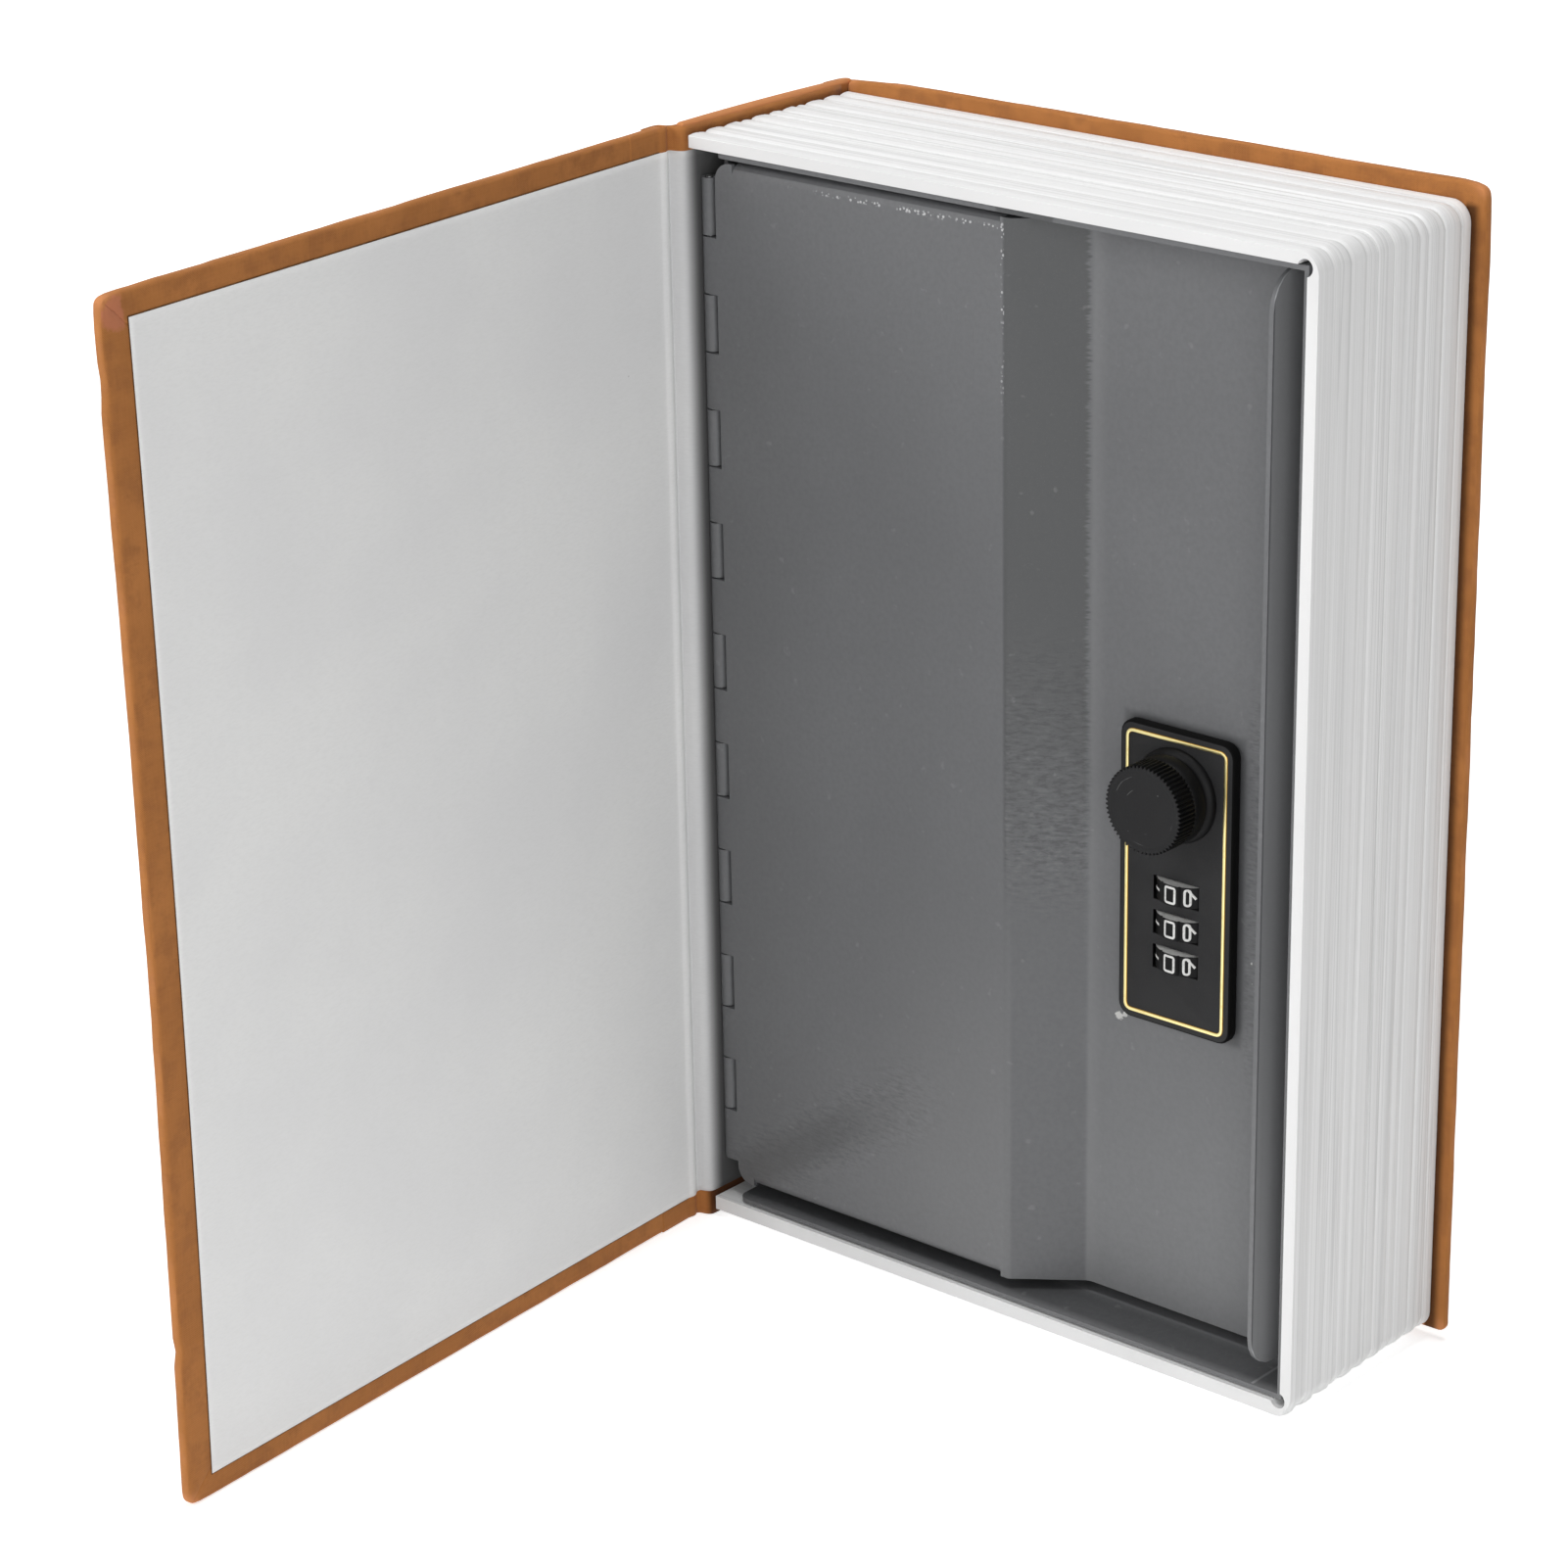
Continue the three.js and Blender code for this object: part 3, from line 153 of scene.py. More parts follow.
class Nodes:
    """A node tree, cleared, that is filled by methods which hand values on."""

    def __init__(self, tree):
        self.tree = tree
        self.tree.nodes.clear()

    def feed(self, socket, value):
        """Links a value, or sets a plain one."""
        if isinstance(value, Value):
            self.tree.links.new(value.socket, socket)
        elif isinstance(value, (tuple, list)) and socket.type == "RGBA":
            socket.default_value = (*value[:3], 1)
        else:
            socket.default_value = value

    def node(self, kind, settings=None, sockets=None, output=0):
        """Adds one node: its settings first, then the values or links of its sockets."""
        made = self.tree.nodes.new("ShaderNode" + kind)
        for setting, value in (settings or {}).items():
            setattr(made, setting, value)
        for socket, value in (sockets or {}).items():
            self.feed(made.inputs[socket], value)
        return Value(self, made.outputs[output])

    def sum(self, operation, *terms):
        return self.node("Math", {"operation": operation}, dict(enumerate(terms)))

    def place(self):
        """Where the shaded point is, in metres."""
        return self.node("TexCoord", output="Object")

    def uv(self):
        """The point's place on the cloth before it was wrapped, in metres."""
        return self.node("UVMap", {"uv_map": "flat"})

    def split(self, vector):
        parts = self.node("SeparateXYZ", None, {0: vector})
        return [Value(self, out) for out in parts.socket.node.outputs]

    def stretch(self, vector, scale, turn=(0, 0, 0)):
        return self.node("Mapping", None, {"Vector": vector, "Scale": scale, "Rotation": turn})

    def noise(self, vector, scale, detail=2, roughness=0.5):
        """Cloudy noise from 0 to 1, with that many waves to the metre."""
        sockets = {"Vector": vector, "Scale": scale, "Detail": detail, "Roughness": roughness}
        return self.node("TexNoise", None, sockets)

    def cells(self, vector, scale, feature="F1"):
        return self.node("TexVoronoi", {"feature": feature}, {"Vector": vector, "Scale": scale})

    def between(self, value, low, high, to_low=0.0, to_high=1.0):
        """Runs smoothly from one value to another while the input goes from low to high."""
        sockets = {"Value": value, "From Min": low, "From Max": high, "To Min": to_low, "To Max": to_high}
        return self.node("MapRange", {"interpolation_type": "SMOOTHSTEP"}, sockets)

    def blend(self, mask, first, second, how="MIX"):
        """Mixes two colours."""
        settings = {"data_type": "RGBA", "blend_type": how}
        return self.node("Mix", settings, {0: mask, 6: first, 7: second}, output=2)

    def rise(self, value, low, high):
        """0 below the first place and 1 above the second, both in millimetres."""
        return self.between(value, low * MM, high * MM)

    def fall(self, value, low, high):
        """1 below the first place and 0 above the second, both in millimetres."""
        return self.between(value, low * MM, high * MM, 1, 0)

    def window(self, value, start, full, fading, end):
        """1 from full to fading and 0 outside start and end, in millimetres."""
        return self.rise(value, start, full) * self.fall(value, fading, end)

    def wander(self, cloud, first, second, low=0.3, high=0.7):
        """Goes from one screen colour to another as a noise goes from low to high."""
        return self.blend(self.between(cloud, low, high), srgb(*first), srgb(*second))

    def layers(self, tone, *layers):
        """Lays screen colours over a tone, each written as its mask, red, green and blue."""
        for mask, *shade in layers:
            tone = self.blend(mask, tone, srgb(*shade))
        return tone

    def near(self, point, vector=None):
        """Distance from a point, in metres."""
        sockets = {0: vector or self.place(), 1: point}
        return self.node("VectorMath", {"operation": "DISTANCE"}, sockets, output="Value")

    def seen_directly(self):
        """1 where the camera, a reflection or clear plastic looks straight at the set."""
        camera, glossy, clear = (
            self.node("LightPath", output=f"Is {ray} Ray")
            for ray in ("Camera", "Glossy", "Transmission")
        )
        return camera.math("MAXIMUM", glossy).math("MAXIMUM", clear)


class Finish(Nodes):
    """A material with one Principled shader."""

    def __init__(self, name, **plain):
        self.material = bpy.data.materials.new(name)
        self.material.use_nodes = True
        super().__init__(self.material.node_tree)
        self.shader = self.tree.nodes.new("ShaderNodeBsdfPrincipled")
        output = self.tree.nodes.new("ShaderNodeOutputMaterial")
        self.tree.links.new(self.shader.outputs["BSDF"], output.inputs["Surface"])
        self.paint(**plain)

    def bump(self, height, depth):
        """Raises the surface by the height, whose 1 stands for that depth in metres."""
        sockets = {"Height": height, "Distance": depth, "Strength": 1.0}
        self.feed(self.shader.inputs["Normal"], self.node("Bump", None, sockets))

    def paint(self, **links):
        for socket, value in links.items():
            self.feed(self.shader.inputs[socket.replace("_", " ")], value)


def srgb(red, green, blue):
    """A colour given as it looks on a screen, 0 to 255, as the linear light that Blender mixes."""
    shades = [channel / 255 for channel in (red, green, blue)]
    return tuple(s / 12.92 if s <= 0.04045 else ((s + 0.055) / 1.055) ** 2.4 for s in shades)


print("a middle grey of 127 is", round(srgb(127, 127, 127)[0], 3), "in linear light")

# %% [markdown]
# Book cloth is a plain weave of thin cotton, filled and dyed. Two crossed sine waves give the raised
# threads, a stretched noise gives slubs along each thread, and a broad noise gives the uneven dye. The
# edges rub paler with use and their rounded rims get a painted highlight, so a wear value that each
# piece carries on its vertices lifts the colour for both.
# One corner of the cover is scuffed, which is written as a place on the open cover. Painted shade darkens
# the strip of the back board beside the page block, and the turned-in cloth at the joint's tail.

# %% Book cloth
THREAD_PITCH = 0.42 * MM
SCUFF_PLACE = Vector((-70.2, -204.1, 234)) * MM
# Places in millimetres. Two numbers bound a change, and four bound a window.
SCUFF_REACH = (2.2, 3.4)
BLOCK_SHADE_X = (73, 73.6, 74.9, 77.0)
BLOCK_SHADE_Y = (0.2, 0.9)
BLOCK_SHADE_Z = (234.5, 236)
TUCKED_X = (-78.9, -78.2, -76.9, -76.4)
TUCKED_Y = (-51.2, -50, -6, -3)
TUCKED_Z = (9, 11)


def make_cloth():
    cloth = Finish("book_cloth", Sheen_Weight=0.06, Sheen_Roughness=0.5, Specular_IOR_Level=0.15)
    flat = cloth.uv()
    sway = (cloth.noise(flat, 260) - 0.5) * 0.9
    across, along, _ = cloth.split(flat)
    turns = 2 * math.pi / THREAD_PITCH
    warp = (across * turns + sway).math("SINE")
    weft = (along * turns + sway).math("SINE")
    slub_up = cloth.noise(cloth.stretch(flat, (2400, 160, 1)), 1, 3)
    slub_side = cloth.noise(cloth.stretch(flat, (160, 2400, 1)), 1, 3)
    dye = cloth.noise(flat, 38, 5, 0.6)
    patch = cloth.noise(flat, 150, 4, 0.65)
    weave = warp * weft * 0.5 + 0.5
    height = weave * 0.6 + (slub_up + slub_side) * 0.5
    wear = cloth.node("Attribute", {"attribute_name": "wear"}, output="Fac")
    # Wear and a painted highlight on the rounded rims both lighten the cloth here.
    rubbed_and_lit = cloth.between(wear + (dye - 0.5) * 0.9 + (patch - 0.5) * 0.7, 0.5, 1.05)
    away = cloth.near(SCUFF_PLACE) + (patch - 0.5) * (7 * MM)
    scuff = cloth.fall(away, *SCUFF_REACH)
    tone = cloth.wander(dye, (156, 99, 50), (182, 119, 64))
    tone = cloth.layers(
        tone,
        (cloth.between(patch, 0.42, 0.66) * 0.75, 138, 87, 48),
        (cloth.between(height, 0.35, 0.95) * 0.4, 196, 130, 74),
        (rubbed_and_lit * 0.75, 214, 143, 92),
        (scuff * 0.6, 200, 124, 98),
    )
    x, y, z = cloth.split(cloth.place())
    # Painted shade on the back board beside the page block.
    block_shade = cloth.window(x, *BLOCK_SHADE_X) * cloth.fall(y, *BLOCK_SHADE_Y) * cloth.fall(z, *BLOCK_SHADE_Z)
    tone = cloth.blend(block_shade, tone, srgb(132, 126, 118), "MULTIPLY")
    # Painted shade on the turned-in cloth at the joint's tail.
    tail_shade = cloth.window(x, *TUCKED_X) * cloth.window(y, *TUCKED_Y) * cloth.fall(z, *TUCKED_Z)
    tone = cloth.blend(tail_shade, tone, srgb(128, 116, 104), "MULTIPLY")
    cloth.paint(Base_Color=tone, Roughness=0.9 - weave * 0.1)
    cloth.bump(height, 0.05 * MM)
    return cloth


cloth = make_cloth()
print("threads to the centimetre:", round(0.01 / THREAD_PITCH, 1))

# %% [markdown]
# Endpaper is uncoated and slightly cool. Fibres show as faint streaks and a fine tooth, and a few dark
# specks of bark are in every cheap sheet. Painted shade makes it greyer in the joint, and darker still
# on the spine behind the hinge.

# %% Endpaper
JOINT_SHADE_Y = (-52.6, -51.4)
SPINE_SHADE_Y = (-50.8, -46.5)


def make_paper():
    paper = Finish("endpaper", Roughness=0.9, Specular_IOR_Level=0.2)
    place = paper.place()
    cloud = paper.noise(place, 22, 4)
    fibre = paper.noise(paper.stretch(place, (700, 700, 2600)), 1, 4, 0.6)
    tooth = paper.noise(place, 2600, 3)
    speck = paper.between(paper.cells(place, 46), 0.0, 0.013, 1, 0)
    _, depth, _ = paper.split(place)
    painted_joint_shade = paper.rise(depth, *JOINT_SHADE_Y)
    on_spine = paper.rise(depth, *SPINE_SHADE_Y)
    tone = paper.wander(cloud, (239, 239, 239), (245, 245, 244))
    tone = paper.layers(
        tone,
        (paper.between(fibre, 0.35, 0.75) * 0.35, 231, 231, 230),
        (speck * 0.85, 70, 66, 62),
    )
    # Painted shade: greyer in the joint, darker on the spine behind the hinge.
    tone = paper.blend(painted_joint_shade, tone, srgb(222, 222, 223), "MULTIPLY")
    tone = paper.blend(on_spine, tone, srgb(112, 112, 112), "MULTIPLY")
    paper.paint(Base_Color=tone)
    paper.bump(fibre * 0.6 + tooth * 0.4, 0.03 * MM)
    return paper


def make_two_toned(name, scale, span, first, second, **plain):
    """A matt finish that wanders between two screen colours over a span of its noise."""
    finish = Finish(name, **plain)
    patch = finish.noise(finish.place(), scale, 3)
    finish.paint(Base_Color=finish.wander(patch, first, second, *span))
    return finish


paper = make_paper()
# A dark finish for the painted shadow along the endpaper's edge.
edge_shade_finish = make_two_toned("paper_edge_shade", 500, (0.3, 0.7), (84, 58, 36), (116, 82, 52), Roughness=0.9,
                       Specular_IOR_Level=0.1)
print("endpaper nodes:", len(paper.tree.nodes))

# %% [markdown]
# The page block is one white moulding. Its ridges are modelled, so the finish adds only what is finer:
# hairlines that run with the pages, faint darker partings, a few specks and a soft gloss. The
# flow lines follow the depth of the block, which is the Y axis here.

# %% White moulding


def make_moulding():
    moulding = Finish("page_moulding", Roughness=0.4, IOR=1.48, Specular_IOR_Level=0.4)
    place = moulding.place()
    hairline = moulding.noise(moulding.stretch(place, (6, 2500, 6)), 1, 3, 0.7)
    band = moulding.noise(moulding.stretch(place, (3, 620, 3)), 1, 3)
    cloud = moulding.noise(place, 30, 3)
    parting = (moulding.noise(moulding.stretch(place, (3, 430, 3)), 1, 1) - 0.5).math("ABSOLUTE")
    speck = moulding.between(moulding.cells(place, 60), 0.0, 0.012, 1, 0)
    tone = moulding.wander(band, (232, 232, 232), (240, 240, 240))
    tone = moulding.layers(
        tone,
        (moulding.between(hairline, 0.45, 0.7) * 0.6, 212, 212, 211),
        (moulding.between(parting, 0, 0.03, 1, 0) * 0.5, 200, 200, 200),
        (speck * 0.7, 150, 148, 145),
    )
    moulding.paint(Base_Color=tone, Roughness=0.36 + cloud * 0.12 + hairline * 0.1)
    moulding.bump(hairline * 0.8 + cloud * 0.2, 0.06 * MM)
    return moulding


moulding = make_moulding()
print("moulding nodes:", len(moulding.tree.nodes))

# %% [markdown]
# The steel is powder coated in grey. Powder melts into a shallow orange peel, a few flakes in it show
# as painted glints, and the coat is chipped where the sheet was knocked. The same finish serves the box,
# the door and the strike, so chips and patches are written as places on the shut door. Some patches
# stand for reflections of the photographer's room, which the lamps here don't give: the dark of the
# slope, the streak in the door's lower corner, the lighter flange and the row of small glints. Painted
# light also lifts the lower recess, the slope's foot and the low flat by the crest, and painted shade
# darkens the box floor under the door, the flat by the hinge and the recess round the lock plate.

# %% Grey powder coat
CHIPS = [
    (Vector((21.9, -37.1, 69.6)) * MM, 0.85 * MM),
    (Vector((23.3, -37.1, 70.1)) * MM, 0.6 * MM),
    (Vector((54.0, -37.1, 89.2)) * MM, 0.2 * MM),
    (Vector((54.1, -37.1, 85.0)) * MM, 0.16 * MM),
    (Vector((45.6, -37.1, 66.2)) * MM, 0.2 * MM),
    (Vector((47.4, -37.1, 66.8)) * MM, 0.17 * MM),
]
SLOPE_X = (-0.2 * MM, 14.2 * MM)
PEEL_PLACE = Vector((9, -43, 120)) * MM
LOW_PEEL_MIDDLE = (-47.5 * MM, 26 * MM)
LOW_PEEL_SLOPE = math.radians(34)
PLATE_MIDDLE = (37.15 * MM, 102.75 * MM)
PLATE_HALF = (13.65 * MM, 31.25 * MM)
# Places on the shut door in millimetres. Two numbers bound a change, and four bound a window.
FLAT_FRONT_Y = (-46.6, -46.2)
RECESS_FRONT_Y = (-37.7, -37.2, -36.7, -36.4)
SLOPE_FRONT_Y = (-36.6, -36.0)
BENDS_Y = (-45.9, -45.4)
TOP_BEND_X = (-58, -34, 0.4, 1)
TOP_BEND_Z = (227.6, 228.1, 228.3, 228.9)
CREST_HALF_WIDTH = (0.15, 0.55)
CREST_Z = (190, 206, 229, 230)
SLOPE_PEEL_X = (0.2, 0.9, 13, 15.5)
SLOPE_PEEL_REACH = (14, 36)
RECESS_PEEL_X = (51.5, 53)
RECESS_PEEL_MIDDLE = 105 * MM
RECESS_PEEL_REACH = (30, 48)
LOW_PEEL_ACROSS = (3, 13)
LOW_PEEL_ALONG = (26, 42)
STREAK_ACROSS = (1, 7)
STREAK_ALONG = (-4, 34)
LOW_END_Z = (12, 110)
RECESS_END_X = (60, 63)
FOOT_X = (13.4, 15, 15, 18.5)
FLANGE_EDGE_X = (63.9, 64.15, 64.5, 64.8)
FLANGE_EDGE_Y = (-48.8, -48.3)
UNDER_DOOR_Z = (7.6, 8)
UNDER_DOOR_Y = (-48.6, -46, -40, -36)
HINGE_SHADE_X = (-72, -38)
HINGE_SHADE_Z = (190, 220)
CREST_LIGHT_X = (-50, -12)
CREST_LIGHT_Z = (30, 110)


def low_streak(coat, place):
    """How far a point lies across and along the streak that climbs from the door's lower left corner."""
    x, _, z = coat.split(place)
    right, up = x - LOW_PEEL_MIDDLE[0], z - LOW_PEEL_MIDDLE[1]
    across = right * math.sin(LOW_PEEL_SLOPE) - up * math.cos(LOW_PEEL_SLOPE)
    along = right * math.cos(LOW_PEEL_SLOPE) + up * math.sin(LOW_PEEL_SLOPE)
    return across.math("ABSOLUTE"), along


def recess_front(coat, place):
    """1 on the front of the door's recess, and 0 on the box behind it."""
    _, y, _ = coat.split(place)
    return coat.window(y, *RECESS_FRONT_Y)


def peel_zones(coat, place):
    """Where the coat dried coarse: the slope at mid height, the recess by the fore edge, the low streak."""
    x, y, z = coat.split(place)
    on_slope = coat.window(x, *SLOPE_PEEL_X)
    on_slope = on_slope * coat.fall(coat.near(PEEL_PLACE, place), *SLOPE_PEEL_REACH)
    beside_lock = coat.rise(x, *RECESS_PEEL_X) * recess_front(coat, place)
    beside_lock = beside_lock * coat.fall((z - RECESS_PEEL_MIDDLE).math("ABSOLUTE"), *RECESS_PEEL_REACH)
    across, along = low_streak(coat, place)
    low = coat.fall(across, *LOW_PEEL_ACROSS)
    low = low * coat.fall(along.math("ABSOLUTE"), *LOW_PEEL_ALONG)
    low = low * coat.fall(y, *FLAT_FRONT_Y)
    return on_slope * 0.85 + beside_lock * 0.45 + low * 0.45


def glint_band(coat, place):
    """Where the door's bends throw back small lights: its top edge and the upper crest of the slope."""
    x, y, z = coat.split(place)
    on_bend = coat.window(z, *TOP_BEND_Z)
    top = on_bend * coat.window(x, *TOP_BEND_X)
    crest = coat.fall(x.math("ABSOLUTE"), *CREST_HALF_WIDTH)
    crest = crest * coat.window(z, *CREST_Z)
    return (top + crest).math("MINIMUM", 1) * coat.fall(y, *BENDS_Y)


def chipped(coat, place):
    """1 inside any of the chips, whose rims are ragged."""
    ragged = (coat.noise(place, 1700, 3) - 0.5) * (1.1 * MM)
    depths = [coat.between(coat.near(point, place) + ragged, radius * 0.8, radius * 1.2, 1, 0)
              for point, radius in CHIPS]
    return sum(depths).math("MINIMUM", 1)


def darker_slope(coat, place):
    """1 on the slope's front at head height, less toward the tail, where it faces the set's dim side."""
    x, y, z = coat.split(place)
    start, end = SLOPE_X
    bristle = (coat.noise(coat.stretch(place, (60, 60, 1900)), 1, 2) - 0.5) * (2.6 * MM)
    past_start = coat.between(x, start, start + 0.8 * MM)
    before_end = coat.between(x + bristle, end - 0.8 * MM, end, 1, 0)
    front = coat.fall(y, *SLOPE_FRONT_Y)
    return past_start * before_end * front * coat.between(z, 70 * MM, 165 * MM, 0.1, 1)


def beside_plate(coat, place):
    """1 at the rim of the lock plate, falling off over the width of a thin shade."""
    x, _, z = coat.split(place)
    right = (x - PLATE_MIDDLE[0]).math("ABSOLUTE") - PLATE_HALF[0]
    up = (z - PLATE_MIDDLE[1]).math("ABSOLUTE") - PLATE_HALF[1]
    return coat.between(right.math("MAXIMUM", up), 0, 1.7 * MM, 1, 0)


def make_coat():
    coat = Finish("grey_coat", Metallic=0.0, IOR=1.5, Specular_IOR_Level=0.35)
    place = coat.place()
    peel = coat.noise(place, 900, 3, 0.55)
    coarse = coat.noise(coat.stretch(place, (430, 430, 1500)), 1, 3, 0.6)
    swell = coat.noise(place, 190, 2)
    cloud = coat.noise(place, 16, 4)
    # Light specks: painted glints on flakes in the powder.
    flake_glint = coat.between(coat.cells(place, 3200), 0.05, 0.14, 1, 0)
    dust = coat.between(coat.noise(place, 420, 2), 0.68, 0.8)
    sparse = coat.between(coat.noise(place, 260, 2), 0.42, 0.54)
    glint = coat.between(coat.cells(place, 1250), 0.3, 0.42, 1, 0) * glint_band(coat, place) * sparse
    zone = peel_zones(coat, place)
    chip = chipped(coat, place)
    tone = coat.wander(cloud, (106, 107, 109), (112, 113, 115))
    tone = coat.blend(coat.between(peel, 0.3, 0.75) * 0.35, tone, srgb(97, 98, 100))
    across, along = low_streak(coat, place)
    streak = coat.fall(across, *STREAK_ACROSS) * coat.fall(along, *STREAK_ALONG)
    x, y, z = coat.split(place)
    flat = coat.fall(y, *FLAT_FRONT_Y)
    low_end = coat.fall(z, *LOW_END_Z)
    recess = recess_front(coat, place) * coat.fall(x, *RECESS_END_X)
    lit_foot = recess * coat.window(x, *FOOT_X)
    flange = coat.window(x, *FLANGE_EDGE_X) * coat.rise(y, *FLANGE_EDGE_Y)
    under_door_shade = coat.fall(z, *UNDER_DOOR_Z) * coat.window(y, *UNDER_DOOR_Y)
    # Painted reflection and light: the dark streak, and the lighter lower recess, slope foot and flange.
    tone = coat.layers(
        tone,
        (coat.between(coarse, 0.5, 0.62) * zone * 0.9, 80, 81, 83),
        (coat.between(coarse, 0.34, 0.46, 1, 0) * zone * 0.6, 132, 133, 135),
        (streak * flat * 0.62, 80, 81, 82),
        (low_end * recess * 0.28, 146, 147, 148),
        (lit_foot * 0.3, 132, 133, 134),
        (flange * (low_end * 0.4 + 0.6), 170, 171, 173),
    )
    # Painted shade by the hinge, under the door and round the plate, painted light by the crest, the slope's
    # painted dark, and painted glints on flakes and along the bends.
    by_hinge = coat.fall(x, *HINGE_SHADE_X) * coat.fall(z, *HINGE_SHADE_Z)
    by_crest = coat.rise(x, *CREST_LIGHT_X) * coat.fall(z, *CREST_LIGHT_Z)
    tone = coat.layers(
        tone,
        (by_hinge * flat * 0.3, 84, 84, 84),
        (by_crest * flat * 0.2, 146, 146, 146),
        (under_door_shade * 0.6, 62, 63, 64),
        (beside_plate(coat, place) * recess * 0.45, 62, 63, 64),
        (darker_slope(coat, place) * 0.85, 79, 80, 81),
        (flake_glint * 0.35, 164, 165, 167),
        (dust * 0.25, 146, 146, 147),
        (glint * 0.8, 214, 214, 215),
        (chip, 196, 196, 194),
    )
    coat.paint(Base_Color=tone, Roughness=0.42 + peel * 0.16 + chip * 0.2)
    coat.bump(peel * 0.7 + swell * 0.45 + coarse * zone * 3.2 - chip * 0.7, 0.075 * MM)
    return coat


coat = make_coat()
print("coat nodes:", len(coat.tree.nodes))

# %% [markdown]
# The lock has four finishes. The plate is satin black with a fine sand texture, the knob and wheels
# are black plastic, the line round the plate is gilt, and what holds the lock from behind is zinc
# plated, with the cloudy look that passivated zinc has.

# %% Lock finishes
PLATE_FACE_Y = (-39.66, -39.6)
KNOB_FACE_Y = (-50.35, -50.2)
KNOB_FACE = Vector((37.15, -50.4, 121)) * MM
SCUFF_RADII = (4.6 * MM, 7 * MM)
SCUFF_WIDTH = (0.02, 0.09)


def make_black_plate():
    plate = Finish("black_coat", IOR=1.5, Specular_IOR_Level=0.18)
    place = plate.place()
    _, depth, _ = plate.split(place)
    face = plate.fall(depth, *PLATE_FACE_Y)
    grain = plate.noise(place, 3000, 3)
    cloud = plate.noise(place, 90, 3)
    tone = plate.wander(cloud, (35, 35, 36), (41, 41, 42))
    tone = plate.blend(plate.between(grain, 0.5, 0.8) * 0.4, tone, srgb(54, 54, 55))
    # The plate's sides are painted near black as painted shade, and its face keeps the satin tone.
    tone = plate.blend(face, srgb(5, 5, 5), tone)
    plate.paint(Base_Color=tone, Roughness=0.95 - face * 0.5 + grain * 0.1)
    plate.bump(grain, 0.02 * MM)
    return plate


def scuff_arcs(plastic, place):
    """Broken arcs round the knob's face, where a fingernail or a ring went round with it."""
    radius = plastic.near(KNOB_FACE, place) + (plastic.noise(place, 110, 2) - 0.5) * (1.2 * MM)
    broken = plastic.between(plastic.noise(place, 190, 2), 0.54, 0.64)
    arcs = [plastic.fall((radius - ring).math("ABSOLUTE"), *SCUFF_WIDTH) for ring in SCUFF_RADII]
    return sum(arcs) * broken


def make_black_plastic():
    plastic = Finish("black_plastic", IOR=1.46, Specular_IOR_Level=0.16)
    place = plastic.place()
    _, depth, _ = plastic.split(place)
    face = plastic.fall(depth, *KNOB_FACE_Y)
    grain = plastic.noise(place, 2400, 2)
    haze = plastic.noise(place, 160, 3)
    nick = plastic.between(plastic.cells(place, 420), 0.03, 0.09, 1, 0) * plastic.between(haze, 0.45, 0.6)
    scratch = (scuff_arcs(plastic, place) + nick).math("MINIMUM", 1) * face
    tone = plastic.blend(plastic.between(haze, 0.3, 0.75), srgb(13, 13, 14), srgb(20, 20, 21))
    tone = plastic.layers(
        tone,
        (face * (0.6 + grain * 0.4), 40, 40, 41),
        (scratch * 0.7, 104, 104, 104),
    )
    plastic.paint(Base_Color=tone, Roughness=0.4 + haze * 0.16 + face * 0.1)
    plastic.bump(grain - scratch, 0.015 * MM)
    return plastic


def make_gilt():
    """Gilding, with a painted highlight where it faces forward and painted shade where it rolls away at its
    sides.
    """
    gilt = Finish("gilt_line", Metallic=1.0, Roughness=0.28)
    wear = gilt.noise(gilt.place(), 500, 4, 0.6)
    _, toward, _ = gilt.split(gilt.node("NewGeometry", output="Normal"))
    # Painted highlight on the forward-facing crown, painted shade on its rolled sides.
    facing_highlight = gilt.between(toward, -0.97, -0.72, 1, 0)
    tone = gilt.blend(facing_highlight, srgb(176, 136, 60), srgb(252, 238, 172))
    tone = gilt.blend(gilt.between(wear, 0.5, 0.75) * 0.5, tone, srgb(214, 178, 96))
    gilt.paint(Base_Color=tone, Roughness=0.22 + wear * 0.22)
    gilt.bump(wear, 0.01 * MM)
    return gilt


def make_zinc():
    zinc = Finish("zinc_plate", Metallic=1.0, Roughness=0.35)
    place = zinc.place()
    spangle = zinc.cells(place, 700, "SMOOTH_F1")
    brush = zinc.noise(zinc.stretch(place, (300, 300, 5200)), 1, 3)
    tone = zinc.blend(zinc.between(spangle, 0.1, 0.6), srgb(196, 198, 200), srgb(176, 179, 182))
    zinc.paint(Base_Color=tone, Roughness=0.26 + brush * 0.2)
    zinc.bump(brush, 0.012 * MM)
    return zinc


black_plate = make_black_plate()
black_plastic = make_black_plastic()
gilt = make_gilt()
zinc = make_zinc()
digit_paint = make_two_toned("digit_paint", 2600, (0.35, 0.8), (232, 232, 230), (200, 200, 198),
                             Roughness=0.55)
print("materials:", len(bpy.data.materials))

# %% [markdown]
# Every piece is finished the same way. Its bmesh becomes a mesh at the origin, flat sides stay crisp
# and round ones smooth, it takes a material, and it is tied to the CAD body that it moves with. Where
# it stands for CAD nodes, these are hidden, and MuJoCo goes on using them.

# %% From bmesh to piece
SMOOTH_BELOW = math.radians(32)


